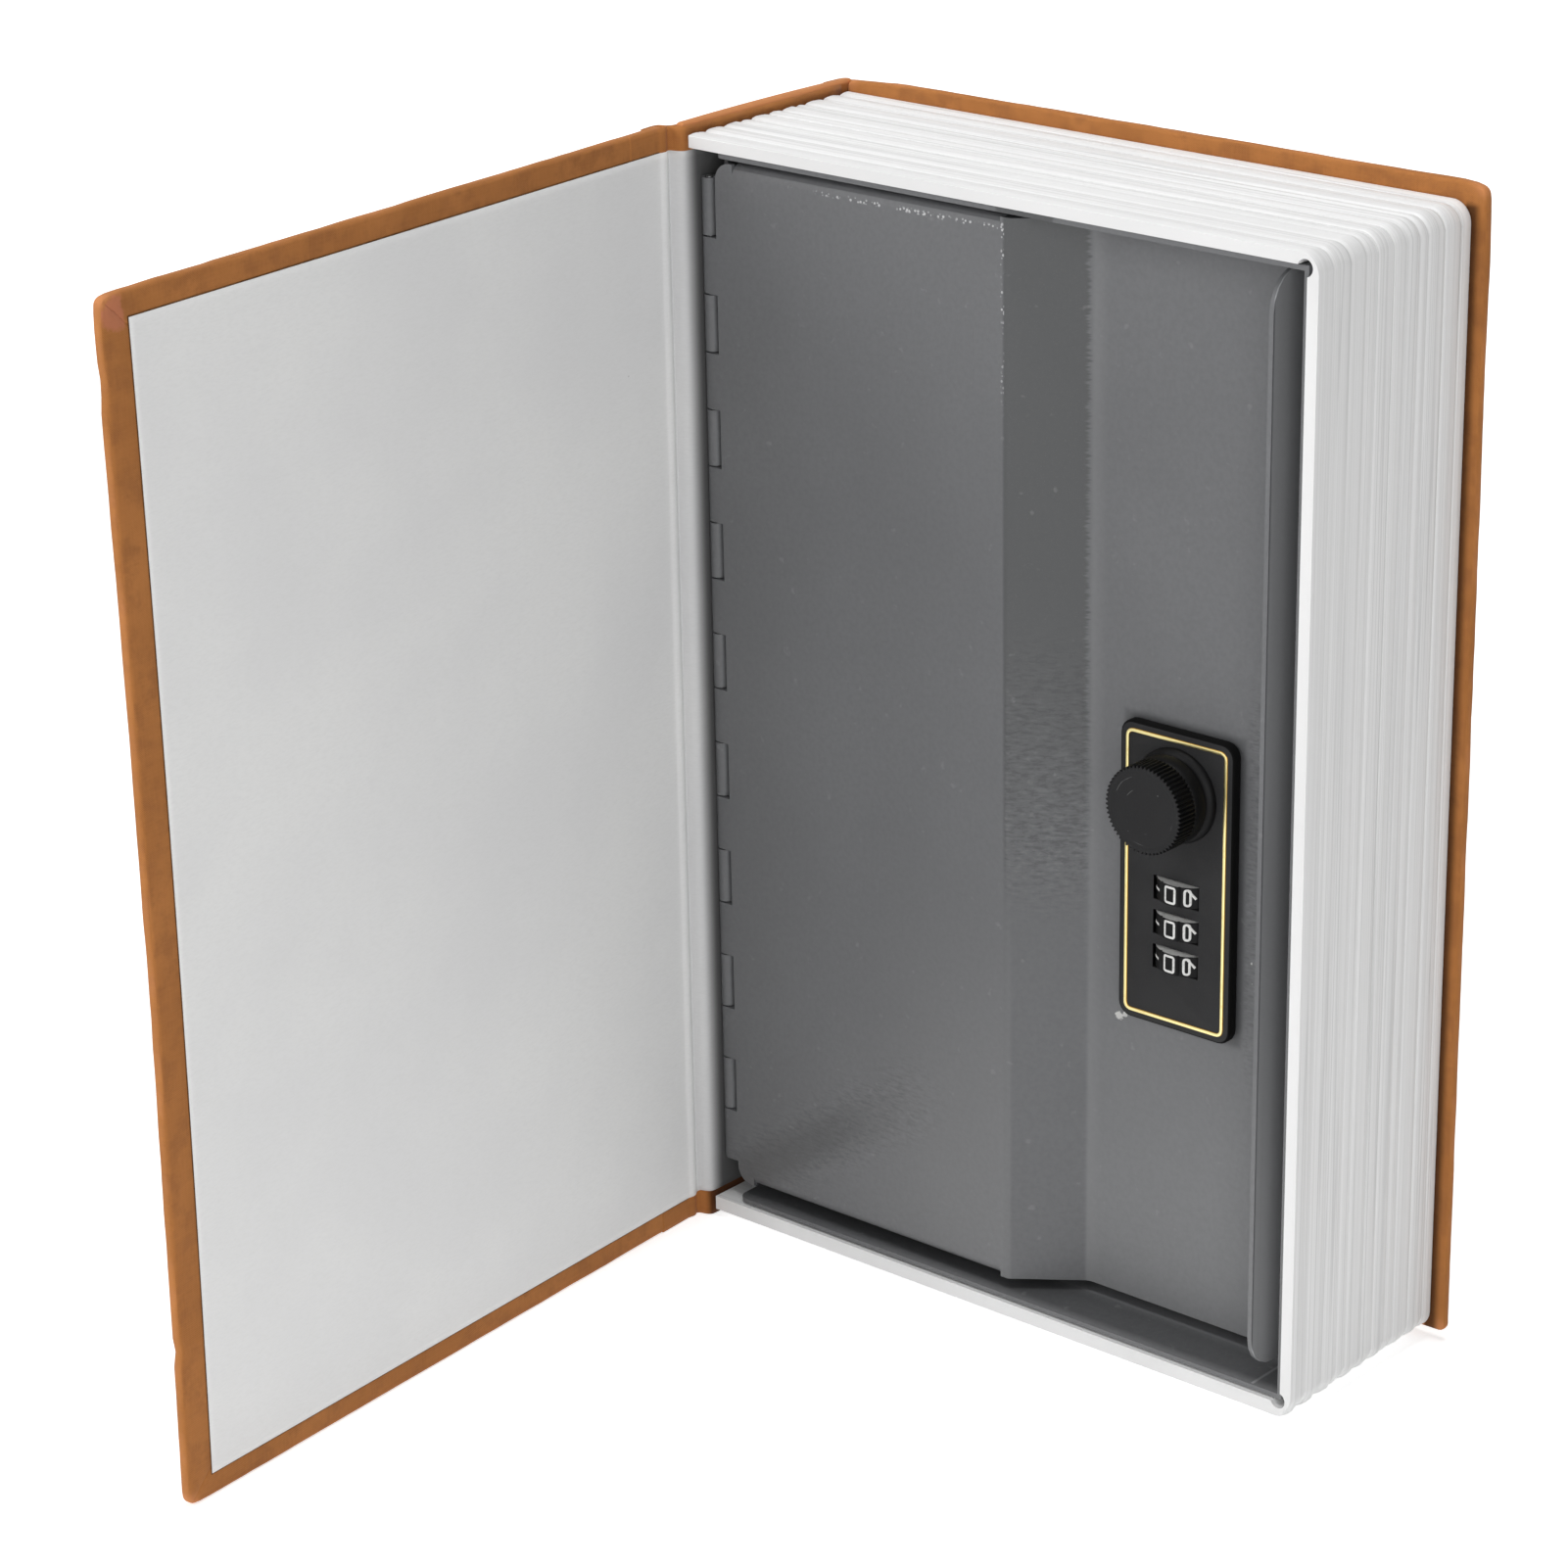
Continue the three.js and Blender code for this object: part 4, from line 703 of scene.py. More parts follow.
def finish_piece(bm, name, finish, body=None, stands_for=(), sharp_above=SMOOTH_BELOW):
    """Turns a bmesh into a named piece of the object."""
    mesh = bpy.data.meshes.new(name)
    bm.to_mesh(mesh)
    bm.free()
    mesh.materials.append(finish.material)
    mesh.shade_smooth()
    mesh.set_sharp_from_angle(angle=sharp_above)
    piece = add_object(name, mesh)
    if body:
        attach(piece, body)
    if stands_for:
        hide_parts(*stands_for)
    print(f"{name}: {len(mesh.polygons)} faces")
    return piece


def all_of(bm):
    return bm.verts[:] + bm.edges[:] + bm.faces[:]


def only(kind, geom):
    """The verts, or the edges, in a list of mixed geometry."""
    return [g for g in geom if isinstance(g, kind)]


def move(bm, step, verts=None):
    bmesh.ops.translate(bm, vec=Vector(step), verts=verts or bm.verts[:])


def slab(low, high):
    """A box between two corners."""
    bm = bmesh.new()
    bmesh.ops.create_cube(bm, size=1)
    bmesh.ops.scale(bm, vec=high - low, verts=bm.verts)
    move(bm, (low + high) / 2)
    return bm


def round_edges(bm, edges, radius, segments):
    bmesh.ops.bevel(
        bm, geom=list(edges), offset=radius, segments=segments, profile=0.5,
        affect="EDGES", material=-1, clamp_overlap=True,
    )


def slice_along(bm, direction, start, end, step):
    """Cuts the mesh across a direction at even steps, so that it can bend there."""
    count = max(1, round((end - start) / step))
    for index in range(1, count):
        point = direction * (start + (end - start) * index / count)
        bmesh.ops.bisect_plane(bm, geom=all_of(bm), plane_co=point, plane_no=direction, dist=1e-7)


def set_flat_uv(bm):
    """Unwraps each face along the axis it looks along, in metres, so a weave keeps its size."""
    layer = bm.loops.layers.uv.new("flat")
    for face in bm.faces:
        axis = max(range(3), key=lambda i: abs(face.normal[i]))
        first, second = [(1, 2), (0, 2), (0, 1)][axis]
        for loop in face.loops:
            loop[layer].uv = (loop.vert.co[first], loop.vert.co[second])


X_AXIS, Y_AXIS, Z_AXIS = (Vector(axis) for axis in ((1, 0, 0), (0, 1, 0), (0, 0, 1)))
print("curves are smooth below", round(math.degrees(SMOOTH_BELOW)), "degrees")

# %% [markdown]
# Most rigid CAD nodes already have the right shape but knife-sharp edges. A copy is merged, its flat
# triangles are dissolved, and a Bevel modifier gives each edge the small radius that a bent sheet, a
# moulding or a turned part really has, so that it catches the light.

# %% Dressing a CAD node


def dressed(node, finish, body, edge, segments=2):
    """A copy of a CAD node with softened edges, standing for it."""
    bm = bmesh.new()
    bm.from_mesh(frame["nodes"][node].data)
    bmesh.ops.remove_doubles(bm, verts=bm.verts, dist=0.002 * MM)
    bmesh.ops.dissolve_limit(bm, angle_limit=math.radians(0.5), verts=bm.verts, edges=bm.edges)
    piece = finish_piece(bm, "visual_" + node, finish, body, [node])
    bevel = piece.modifiers.new("soft_edges", "BEVEL")
    bevel.width = edge
    bevel.segments = segments
    bevel.limit_method = "ANGLE"
    bevel.angle_limit = math.radians(38)
    bevel.harden_normals = True
    return piece


dressed("box_shell", coat, "case", 0.18 * MM)
dressed("strike", coat, "case", 0.2 * MM)
dressed("door_panel", coat, "door", 0.22 * MM)
dressed("hinge_pin", zinc, "case", 0.1 * MM)

# %% Dressing the lock's plain parts
dressed("lock_plate", black_plate, "door", 0.2 * MM)
dressed("lock_body", black_plastic, "door", 0.25 * MM)
dressed("wheel_axle", zinc, "door", 0.15 * MM)
dressed("spindle", zinc, "knob", 0.1 * MM)
dressed("cam", zinc, "knob", 0.15 * MM)
dressed("cam_washer", zinc, "knob", 0.1 * MM)
dressed("cam_screw", zinc, "knob", 0.12 * MM)
for screw_number in (1, 2):
    dressed(f"plate_screw_{screw_number}", zinc, "door", 0.12 * MM)

# %% [markdown]
# Cloth never lies dead straight. A little noise, seeded so that it is the same on every run, moves the
# points of a wrapped board, more along its rim than on its flats. The same loop notes how worn each
# point is: rims and corners rub first, and the wear value also carries their painted highlight.

# %% Cloth that has been handled
NOISE_SEED = 1
noise.seed_set(NOISE_SEED)
RIPPLE_LENGTH = 9 * MM
RIM_RIPPLE = 0.13 * MM
FLAT_RIPPLE = 0.05 * MM
SWAY_LENGTH = 42 * MM
RIM_SWAY = 0.3 * MM
RUBBED_BORDER = 1.5 * MM
RUBBED_CORNER = 9 * MM
SLICE_STEP = 3 * MM
MITRE_DEPTH = 0.16 * MM
MITRE_WIDTH = 0.35 * MM


def handle(bm, low, high, dents=()):
    """Ripples a board that fills the box from low to high, presses dents in, and marks wear and painted
    highlight.

    A dent is a place seen from the front, the push at its middle, and how wide it reaches.
    """
    wear = bm.verts.layers.float.new("wear")
    corners = [Vector((x, 0, z)) for x in (low.x, high.x) for z in (low.z, high.z)]
    for vert in bm.verts:
        rim = min(vert.co.x - low.x, high.x - vert.co.x, vert.co.z - low.z, high.z - vert.co.z)
        edge = max(0.0, 1 - rim / RUBBED_BORDER)
        flat_place = Vector((vert.co.x, 0, vert.co.z))
        corner = max(0.0, 1 - min((flat_place - c).length for c in corners) / RUBBED_CORNER)
        vert[wear] = max(0.62 * edge, corner)
        ripple = noise.noise_vector(vert.co / RIPPLE_LENGTH)
        ripple += 0.5 * noise.noise_vector(vert.co / RIPPLE_LENGTH * 3)
        reach = FLAT_RIPPLE + (RIM_RIPPLE - FLAT_RIPPLE) * edge
        vert.co += Vector((ripple.x * edge * reach, ripple.y * reach * 0.6, ripple.z * edge * reach))
        vert.co.x -= RIM_SWAY * edge * noise.noise(Vector((low.y, 0, vert.co.z)) / SWAY_LENGTH)
        for place, push, width in dents:
            away = flat_place - place
            vert.co += push * math.exp(-((away.length / width) ** 2))


def cut_mitres(bm, low, high, side_y, turned_in):
    """Presses the slanting seams where the turned-in cloth meets at each corner of the inner face."""
    inward = math.copysign(MITRE_DEPTH, side_y - (low.y + high.y) / 2)
    for x, toward_x in ((low.x, 1), (high.x, -1)):
        for z, toward_z in ((low.z, 1), (high.z, -1)):
            corner = Vector((x, side_y, z))
            across = Vector((toward_x, 0, -toward_z)).normalized()
            for offset in (-MITRE_WIDTH, 0, MITRE_WIDTH):
                flat = [face for face in bm.faces if abs(face.normal.y) > 0.9]
                near = [f for f in flat if (f.calc_center_median() - corner).length < turned_in * 1.6]
                edges = {edge for face in near for edge in face.edges}
                verts = {vert for face in near for vert in face.verts}
                bmesh.ops.bisect_plane(
                    bm, geom=[*verts, *edges, *near], plane_co=corner + across * offset, plane_no=across,
                    dist=1e-7,
                )
            for vert in bm.verts:
                away = vert.co - corner
                if abs(away.dot(across)) < 1e-6 and away.length < turned_in * 1.5 and abs(away.y) < MM / 5:
                    vert.co.y -= inward


def wrapped_board(low, high, corner_radius, edge_radius, dents=(), mitre_y=None, turned_in=0):
    """A board with cloth drawn round it."""
    bm = slab(low, high)
    through = [e for e in bm.edges if abs((e.verts[1].co - e.verts[0].co).normalized().y) > 0.9]
    round_edges(bm, through, corner_radius, 4)
    rim = [e for e in bm.edges if sum(abs(f.normal.y) > 0.9 for f in e.link_faces) == 1]
    round_edges(bm, rim, edge_radius, 4)
    slice_along(bm, X_AXIS, low.x, high.x, SLICE_STEP)
    slice_along(bm, Z_AXIS, low.z, high.z, SLICE_STEP)
    if mitre_y is not None:
        cut_mitres(bm, low, high, mitre_y, turned_in)
    set_flat_uv(bm)
    handle(bm, low, high, dents)
    return bm


# %% [markdown]
# The cover is easiest to build shut, square to the axes, and to swing open afterwards, as a binder
# would. The joint in the frame says where its axis is and how far it stands open.

# %% Front board
cover_joint = joints["cover_hinge"]
cover_axis = Vector(cover_joint["pos_m"])
cover_open = math.radians(-cover_joint["range_deg"][0])
open_cover = (
    Matrix.Translation(cover_axis) @ Matrix.Rotation(-cover_open, 4, "Z") @ Matrix.Translation(-cover_axis)
)
shut_points = [open_cover.inverted() @ v.co for v in frame["nodes"]["front_board"].data.vertices]
shut_low = Vector([min(p[i] for p in shut_points) for i in range(3)])
shut_high = Vector([max(p[i] for p in shut_points) for i in range(3)])
PAPER_STEP = 0.16 * MM
CORNER_RADIUS = 1.5 * MM
CLOTH_EDGE_RADIUS = 0.85 * MM
TURN_IN = 6.5 * MM
FORE_EDGE_TRIM = 1 * MM
HEAD_TRIM = 0.6 * MM
front_low = shut_low.copy()
front_high = Vector((shut_high.x - FORE_EDGE_TRIM, shut_high.y + PAPER_STEP, shut_high.z - HEAD_TRIM))
fore_edge_dents = [
    (Vector((front_high.x, 0, 0.221)), Vector((-0.5, 0, 0)) * MM, 2 * MM),
    (Vector((front_high.x, 0, 0.033)), Vector((-0.6, 0, 0)) * MM, 1.6 * MM),
    (Vector((front_high.x, 0, front_high.z)), Vector((-0.3, 0, -0.4)) * MM, 2.6 * MM),
    (Vector((front_high.x, 0, 0)), Vector((-0.4, 0, 0.4)) * MM, 2.2 * MM),
]
front = wrapped_board(front_low, front_high, CORNER_RADIUS, CLOTH_EDGE_RADIUS, fore_edge_dents,
                      front_high.y, 2 * TURN_IN)
bmesh.ops.transform(front, matrix=open_cover, verts=front.verts)
front_cloth = finish_piece(front, "front_board_cloth", cloth, "cover", ["front_board"])

# %% [markdown]
# Board warps with the damp of its paste. The cover's fore edge curls inward at half height by a
# little over a millimetre, and so must everything that is pasted to it.

# %% Warp of the cover
open_along = (open_cover.to_3x3() @ X_AXIS).normalized()
open_inward = (open_cover.to_3x3() @ Y_AXIS).normalized()
board_length = front_high.x - cover_axis.x
COVER_WARP = 1.3 * MM


def warp_cover(piece):
    half = front_high.z / 2
    for vert in piece.data.vertices:
        share = max(0.0, (vert.co - cover_axis).dot(open_along) / board_length)
        at_middle = 1 - ((vert.co.z - half) / half) ** 2
        vert.co += open_inward * COVER_WARP * share ** 2 * at_middle


warp_cover(front_cloth)
print("the cover opens toward", [round(v, 3) for v in open_along])

# %% [markdown]
# The back board is wrapped in the same way. It was glued in slightly askew, so it rises along its free
# edge, most at the tail. The spine board is narrower and bows outward, so its outer points are moved along
# a parabola after the wrapping.

# %% Back board and spine
back_low, back_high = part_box("back_board")
back_dents = [(Vector((back_high.x, 0, back_high.z)), Vector((-0.4, 0, -0.7)) * MM, 2.6 * MM)]
BACK_RISE_LOW = 2.3 * MM
BACK_RISE_HIGH = 0.7 * MM
BACK_RISE_UP = 0.8 * MM
BACK_REACH = 0.65 * MM
back = wrapped_board(back_low, back_high, CORNER_RADIUS, CLOTH_EDGE_RADIUS, back_dents)
for vert in back.verts:
    out = (vert.co.x - back_low.x) / (back_high.x - back_low.x)
    up = (vert.co.z - back_low.z) / (back_high.z - back_low.z)
    vert.co.x += BACK_REACH * out
    vert.co.z += (BACK_RISE_LOW * (1 - up) + BACK_RISE_HIGH * up) * out
    vert.co.z += BACK_RISE_UP * up * min(1.0, out * 12)
finish_piece(back, "back_board_cloth", cloth, "case", ["back_board"])

spine_low, spine_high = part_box("spine_board")
SPINE_BULGE = 1 * MM


def make_spine():
    flat_low = spine_low + Vector((SPINE_BULGE, 0, 0))
    bm = slab(flat_low, spine_high)
    round_edges(bm, bm.edges[:], CLOTH_EDGE_RADIUS, 4)
    slice_along(bm, Y_AXIS, flat_low.y, spine_high.y, SLICE_STEP)
    slice_along(bm, Z_AXIS, flat_low.z, spine_high.z, SLICE_STEP)
    set_flat_uv(bm)
    wear = bm.verts.layers.float.new("wear")
    half = (spine_high.y - spine_low.y) / 2
    middle = (spine_high.y + spine_low.y) / 2
    for vert in bm.verts:
        outward = (spine_high.x - vert.co.x) / (spine_high.x - flat_low.x)
        bow = max(0.0, 1 - ((vert.co.y - middle) / half) ** 2)
        end = min(vert.co.z - spine_low.z, spine_high.z - vert.co.z)
        vert[wear] = max(0.0, 1 - end / RUBBED_BORDER) * 1.6
        ripple = noise.noise(vert.co / RIPPLE_LENGTH)
        vert.co.x -= outward * (SPINE_BULGE * bow + ripple * FLAT_RIPPLE)
    return bm


finish_piece(make_spine(), "spine_cloth", cloth, "case", ["spine_board"])

# %% [markdown]
# Cloth and paper that cross a joint are strips. A strip starts as one upright line of points, which is
# drawn out step by step through a few places in plan, smoothed by subdivision and then thickened.

# %% Strips that follow a path in plan
LIFT_RUN = 1.5 * MM
ROW_HEIGHT = 6 * MM


def make_strip(name, plan, low_z, high_z, thickness, finish, outward, body=None, stands_for=(),
               lift=0.0, lift_after=0.0):
    """A strip of sheet that runs through the places in plan and stands between two heights.

    Its lower edge rises by the lift once the strip has run that far.
    """
    bm = bmesh.new()
    flat = bm.loops.layers.uv.new("flat")
    wear = bm.verts.layers.float.new("wear")
    rows = max(2, round((high_z - low_z) / ROW_HEIGHT))
    heights = [low_z + (high_z - low_z) * row / rows for row in range(rows + 1)]
    front_edge = [bm.verts.new((plan[0].x, plan[0].y, height)) for height in heights]
    lead = [bm.edges.new(pair) for pair in zip(front_edge, front_edge[1:])]
    travelled = {v: 0.0 for v in front_edge}
    gone = 0.0
    for here, there in zip(plan, plan[1:]):
        step = Vector((there.x - here.x, there.y - here.y, 0))
        gone += step.length
        drawn = bmesh.ops.extrude_edge_only(bm, edges=lead)["geom"]
        lead = only(BMEdge, drawn)
        moved = only(BMVert, drawn)
        move(bm, step, moved)
        travelled.update({v: gone for v in moved})
    bm.normal_update()
    for face in bm.faces:
        for loop in face.loops:
            loop[flat].uv = (travelled[loop.vert], loop.vert.co.z)
    for vert in bm.verts:
        end = min(vert.co.z - low_z, high_z - vert.co.z)
        vert[wear] = max(0.0, 1 - end / RUBBED_BORDER) * 0.6
        if vert.co.z < low_z + MM:
            vert.co.z += lift * min(1.0, max(0.0, (travelled[vert] - lift_after) / LIFT_RUN))
    facing = sum((f.normal for f in bm.faces), Vector())
    if facing.dot(outward) < 0:
        bmesh.ops.reverse_faces(bm, faces=bm.faces)
    strip = finish_piece(bm, name, finish, body, stands_for, sharp_above=math.pi)
    smooth = strip.modifiers.new("smooth", "SUBSURF")
    smooth.levels = smooth.render_levels = 2
    smooth.boundary_smooth = "PRESERVE_CORNERS"
    thick = strip.modifiers.new("thickness", "SOLIDIFY")
    thick.thickness = thickness
    thick.offset = -1
    return strip


def on_cover(along, outward):
    """A place in plan on the open cover: how far from the joint's axis, and how far to the outside."""
    return cover_axis + open_along * along - open_inward * outward


def in_plan(x, y):
    return Vector((x * MM, y * MM, 0))


def all_in_plan(*places):
    return [in_plan(x, y) for x, y in places]


print("a place 20 mm out on the cover:", [round(v / MM, 1) for v in on_cover(20 * MM, 0)])

# %% [markdown]
# The endpaper is one sheet: pasted to the board, rolled over a low ridge, pressed into the joint, and
# carried on round the spine behind the steel hinge. Cloth is turned in under it at the head and the
# tail. A dark strip, a hair wider than the paper, lies under it as the painted shadow of its edge.

# %% Endpaper across the joint
paper_low, paper_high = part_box("front_endpaper")
paper_high.z -= HEAD_TRIM
paper_reach = board_length - TURN_IN
PAPER_THICKNESS = 0.16 * MM
EDGE_SHADE_WIDTH = 0.24 * MM
TURN_IN_STEP = 0.13 * MM
TURN_IN_TALL = 9 * MM


def board_plan(reach, last, outward, steps=30):
    """Evenly spaced places along the open cover's inner face."""
    return [on_cover(reach - (reach - last) * step / steps, outward) for step in range(steps + 1)]


def joint_plan(step):
    """Places from the board over the ridge into the joint and along the spine, that far under the paper."""
    on_board = [(4.2, 0.02), (3.0, 0.02), (2.3, -0.3), (1.4, -0.42), (0.7, -0.1), (0.1, 0.22)]
    folded = [(-79.6, -51.3), (-78.7, -51.15), (-77.8, -50.75)]
    on_spine = [(-77.12, -50.0), (-77.08, -48.6), (-77.08, -46.5), (-77.08, -43), (-77.08, -34), (-77.1, -20),
                (-77.15, -2.5)]
    plan = [on_cover(along * MM, outward * MM + step) for along, outward in on_board]
    plan += [place + Vector((-step / 2, step, 0)) for place in all_in_plan(*folded)]
    return plan + [place - Vector((step, 0, 0)) for place in all_in_plan(*on_spine)]


def bend_at_joint(strip):
    on_cover(0.9 * MM, 0)
    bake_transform(strip)


endpaper = make_strip(
    "endpaper_sheet", board_plan(paper_reach, 6 * MM, 0.02 * MM) + joint_plan(0), paper_low.z, paper_high.z,
    PAPER_THICKNESS, paper, open_inward, stands_for=["front_endpaper", "spine_lining"],
    lift=0.8 * MM, lift_after=paper_reach - 0.5 * MM,
)
warp_cover(endpaper)
bend_at_joint(endpaper)

# %% Painted edge shadow and turned-in cloth
# A dark strip under the paper's edge: its painted shadow.
paper_edge_shade = make_strip(
    "endpaper_edge_shade", board_plan(paper_reach + EDGE_SHADE_WIDTH, 3 * MM, 0.08 * MM), paper_low.z - EDGE_SHADE_WIDTH,
    paper_high.z + EDGE_SHADE_WIDTH, 0.05 * MM, edge_shade_finish, open_inward, body="cover",
)
warp_cover(paper_edge_shade)
turn_in_plan = board_plan(12 * MM, 5 * MM, TURN_IN_STEP, 3) + joint_plan(TURN_IN_STEP)
for end_name, low_z, high_z in (
    ("tail", 0.15 * MM, TURN_IN_TALL),
    ("head", back_high.z - TURN_IN_TALL, back_high.z - HEAD_TRIM),
):
    turn_in = make_strip(f"{end_name}_turn_in", turn_in_plan, low_z, high_z, 0.3 * MM, cloth,
                         open_inward)
    bend_at_joint(turn_in)

# %% [markdown]
# Outside, the cloth dips into the groove between spine and board. The strip starts on the spine,
# goes down into the groove and climbs the board's edge, so the cover's cloth and the spine's cloth
# look like one piece.

# %% Cloth in the front and back joints
front_joint_plan = all_in_plan(
    (-80.0, -46.5), (-79.98, -48.2), (-79.97, -49.7), (-80.05, -50.6), (-80.45, -51.2), (-81.0, -51.6),
    (-81.8, -51.85), (-82.5, -52.15),
) + [on_cover(1.6 * MM, 2.75 * MM), on_cover(3.4 * MM, 2.7 * MM), on_cover(5.5 * MM, 2.62 * MM)]
front_joint = make_strip("front_joint_cloth", front_joint_plan, 0.1 * MM, back_high.z - HEAD_TRIM, 0.42 * MM,
                         cloth, -X_AXIS, stands_for=["joint_cloth"])
on_cover(0.75 * MM, 1.2 * MM)
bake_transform(front_joint)

back_joint_plan = all_in_plan(
    (-80.05, -5.0), (-79.98, -2.0), (-79.85, 0.2), (-79.3, 1.15), (-78.3, 1.35), (-77.6, 0.75),
    (-77.2, 0.5), (-76.7, 0.95), (-75.6, 1.28), (-73.5, 1.3), (-71.0, 1.25),
)
make_strip("back_joint_cloth", back_joint_plan, 0.1 * MM, back_high.z - 0.1 * MM, 0.35 * MM, cloth,
           Y_AXIS, body="case")

# %% [markdown]
# The page block's frame is one profile swept round three sides. The profile is drawn in depth: each
# bundle of pages is a crown that rises fast and falls slowly, wide bundles have a second, lower crest,
# and grooves part them. Extruding makes the straight runs and spinning makes the two round corners.
# The moulding is softer at the fore edge and the head, so the grooves are filled there, and its tail
# wall sags a little at the front.

# %% Page frame
frame_low, frame_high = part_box("page_frame")
FRAME_WALL = 2.7 * MM
FRAME_CORNER = 4.2 * MM
GROOVE_DEPTH = 0.85 * MM
GROOVE_PLACE_SHARES = (0, 0.105, 0.215, 0.381, 0.492, 0.572, 0.719, 0.832, 0.939, 1)
PAGE_LINE = 0.2 * MM
SHEAF_RISE = 0.09 * MM
SIDE_DEPTH_SHARE = 0.36
HEAD_DEPTH_SHARE = 0.72
FRONT_RIM = (2.6 * MM, 0.45 * MM)
BACK_RIM = (0.5 * MM, 0.4 * MM)
TAIL_DROP = 0.8 * MM
WIDE_BUNDLE = 6.2 * MM
RELIEF_RADIUS = 1.7 * MM
RELIEF_INSET = 0.5 * MM


def page_inset(depth, whole):
    """How far the pages lie under the crest at a depth behind the block's front."""
    share = depth / whole
    bundles = zip(GROOVE_PLACE_SHARES, GROOVE_PLACE_SHARES[1:])
    start, end = next((start, end) for start, end in bundles if share <= end + 1e-9)
    across = (share - start) / (end - start)
    first, last = start == 0, end == 1
    skewed = 0.5 + across / 2 if first else across ** 0.8 * (0.5 if last else 1)
    inset = GROOVE_DEPTH * (1 - max(0.0, math.sin(math.pi * min(1, skewed))) ** 0.42)
    if (end - start) * whole > WIDE_BUNDLE:
        inset += 0.45 * MM * math.exp(-(((across - 0.6) / 0.09) ** 2))
    sheaf = noise.noise(Vector((depth / (1.3 * MM), 0, 0)))
    sheaf += 0.6 * noise.noise(Vector((depth / (0.45 * MM), 7, 0)))
    inset += SHEAF_RISE * max(0.0, 0.5 + sheaf)
    for edge, (wide, drop) in ((depth, FRONT_RIM), (whole - depth, BACK_RIM)):
        outside = max(0.0, 1 - edge / wide)
        inset += drop * (1 - math.sqrt(1 - outside ** 2))
    return inset


def shape_frame(bm, inset):
    """Makes the grooves shallower at the fore edge and the head, and lets the tail sag at the front."""
    middle = (frame_low.z + frame_high.z) / 2
    for vert in bm.verts:
        past = max(0.0, vert.co.x - (frame_high.x - FRAME_CORNER))
        above = max(vert.co.z - frame_high.z, frame_low.z - vert.co.z) + FRAME_CORNER
        round_share = math.atan2(past, max(0.001 * MM, above)) / (math.pi / 2)
        outward = Vector((round_share, 0, math.copysign(1 - round_share, vert.co.z - middle))).normalized()
        filled = (1 - SIDE_DEPTH_SHARE) * round_share ** 2
        if vert.co.z > middle:
            filled += (1 - HEAD_DEPTH_SHARE) * (1 - round_share)
        vert.co += outward * vert[inset] * filled
        if above > FRAME_CORNER - FRAME_WALL / 2 and vert.co.z < frame_low.z + FRAME_WALL:
            behind = (vert.co.y - frame_low.y) / (frame_high.y - frame_low.y)
            vert.co.z -= TAIL_DROP * (1 - 1.6 * behind)


def make_page_frame():
    whole = frame_high.y - frame_low.y
    lines = round(whole / PAGE_LINE)
    bm = bmesh.new()
    inset = bm.verts.layers.float.new("inset")
    outline = []
    for line in range(lines + 1):
        depth = whole * line / lines
        under = page_inset(depth, whole)
        outline.append(bm.verts.new((frame_low.x, frame_low.y + depth, frame_high.z - under)))
        outline[-1][inset] = under
    for y in (frame_high.y, frame_low.y):
        outline.append(bm.verts.new((frame_low.x, y, frame_high.z - FRAME_WALL)))
    lead = [bm.edges.new(pair) for pair in zip(outline, outline[1:] + outline[:1])]
    bmesh.ops.contextual_create(bm, geom=lead)

    def draw_out(step):
        drawn = bmesh.ops.extrude_edge_only(bm, edges=lead)["geom"]
        move(bm, step, only(BMVert, drawn))
        return only(BMEdge, drawn)

    def turn(height):
        made = bmesh.ops.spin(
            bm, geom=lead, cent=(frame_high.x - FRAME_CORNER, 0, height), axis=(0, 1, 0),
            dvec=(0, 0, 0), angle=math.pi / 2, steps=10, use_merge=False, use_duplicate=False,
        )["geom_last"]
        return only(BMEdge, made)

    run = Vector((frame_high.x - FRAME_CORNER - frame_low.x, 0, 0))
    drop = Vector((0, 0, frame_high.z - frame_low.z - 2 * FRAME_CORNER))
    lead = draw_out(run)
    lead = turn(frame_high.z - FRAME_CORNER)
    lead = draw_out(-drop)
    lead = turn(frame_low.z + FRAME_CORNER)
    lead = draw_out(-run)
    bmesh.ops.contextual_create(bm, geom=lead)
    shape_frame(bm, inset)
    bmesh.ops.recalc_face_normals(bm, faces=bm.faces)
    return bm


def make_relief_cutter():
    """Two rods that clear the inner corners of the frame."""
    bm = bmesh.new()
    inner_x = frame_high.x - FRAME_WALL - RELIEF_INSET
    for z in (frame_high.z - FRAME_WALL - RELIEF_INSET, frame_low.z + FRAME_WALL + RELIEF_INSET):
        middle = Vector((inner_x, (frame_low.y + frame_high.y) / 2, z))
        place = Matrix.Translation(middle) @ Matrix.Rotation(math.pi / 2, 4, "X")
        bmesh.ops.create_cone(bm, cap_ends=True, segments=40, radius1=RELIEF_RADIUS, radius2=RELIEF_RADIUS,
                              depth=(frame_high.y - frame_low.y) * 1.2, matrix=place)
    return bm


def carve(bm, cutter_bm):
    """The first mesh with the second cut away."""
    objects = []
    for part in (bm, cutter_bm):
        mesh = bpy.data.meshes.new("carving")
        part.to_mesh(mesh)
        part.free()
        objects.append(add_object("carving", mesh))
    cut = objects[0].modifiers.new("cut", "BOOLEAN")
    cut.operation = "DIFFERENCE"
    cut.solver = "EXACT"
    cut.object = objects[1]
    evaluated = objects[0].evaluated_get(bpy.context.evaluated_depsgraph_get())
    carved = bmesh.new()
    carved.from_mesh(evaluated.to_mesh())
    for leftover in objects:
        bpy.data.objects.remove(leftover)
    return carved


finish_piece(carve(make_page_frame(), make_relief_cutter()), "page_block_frame", moulding,
             "case", ["page_frame"], sharp_above=math.radians(50))

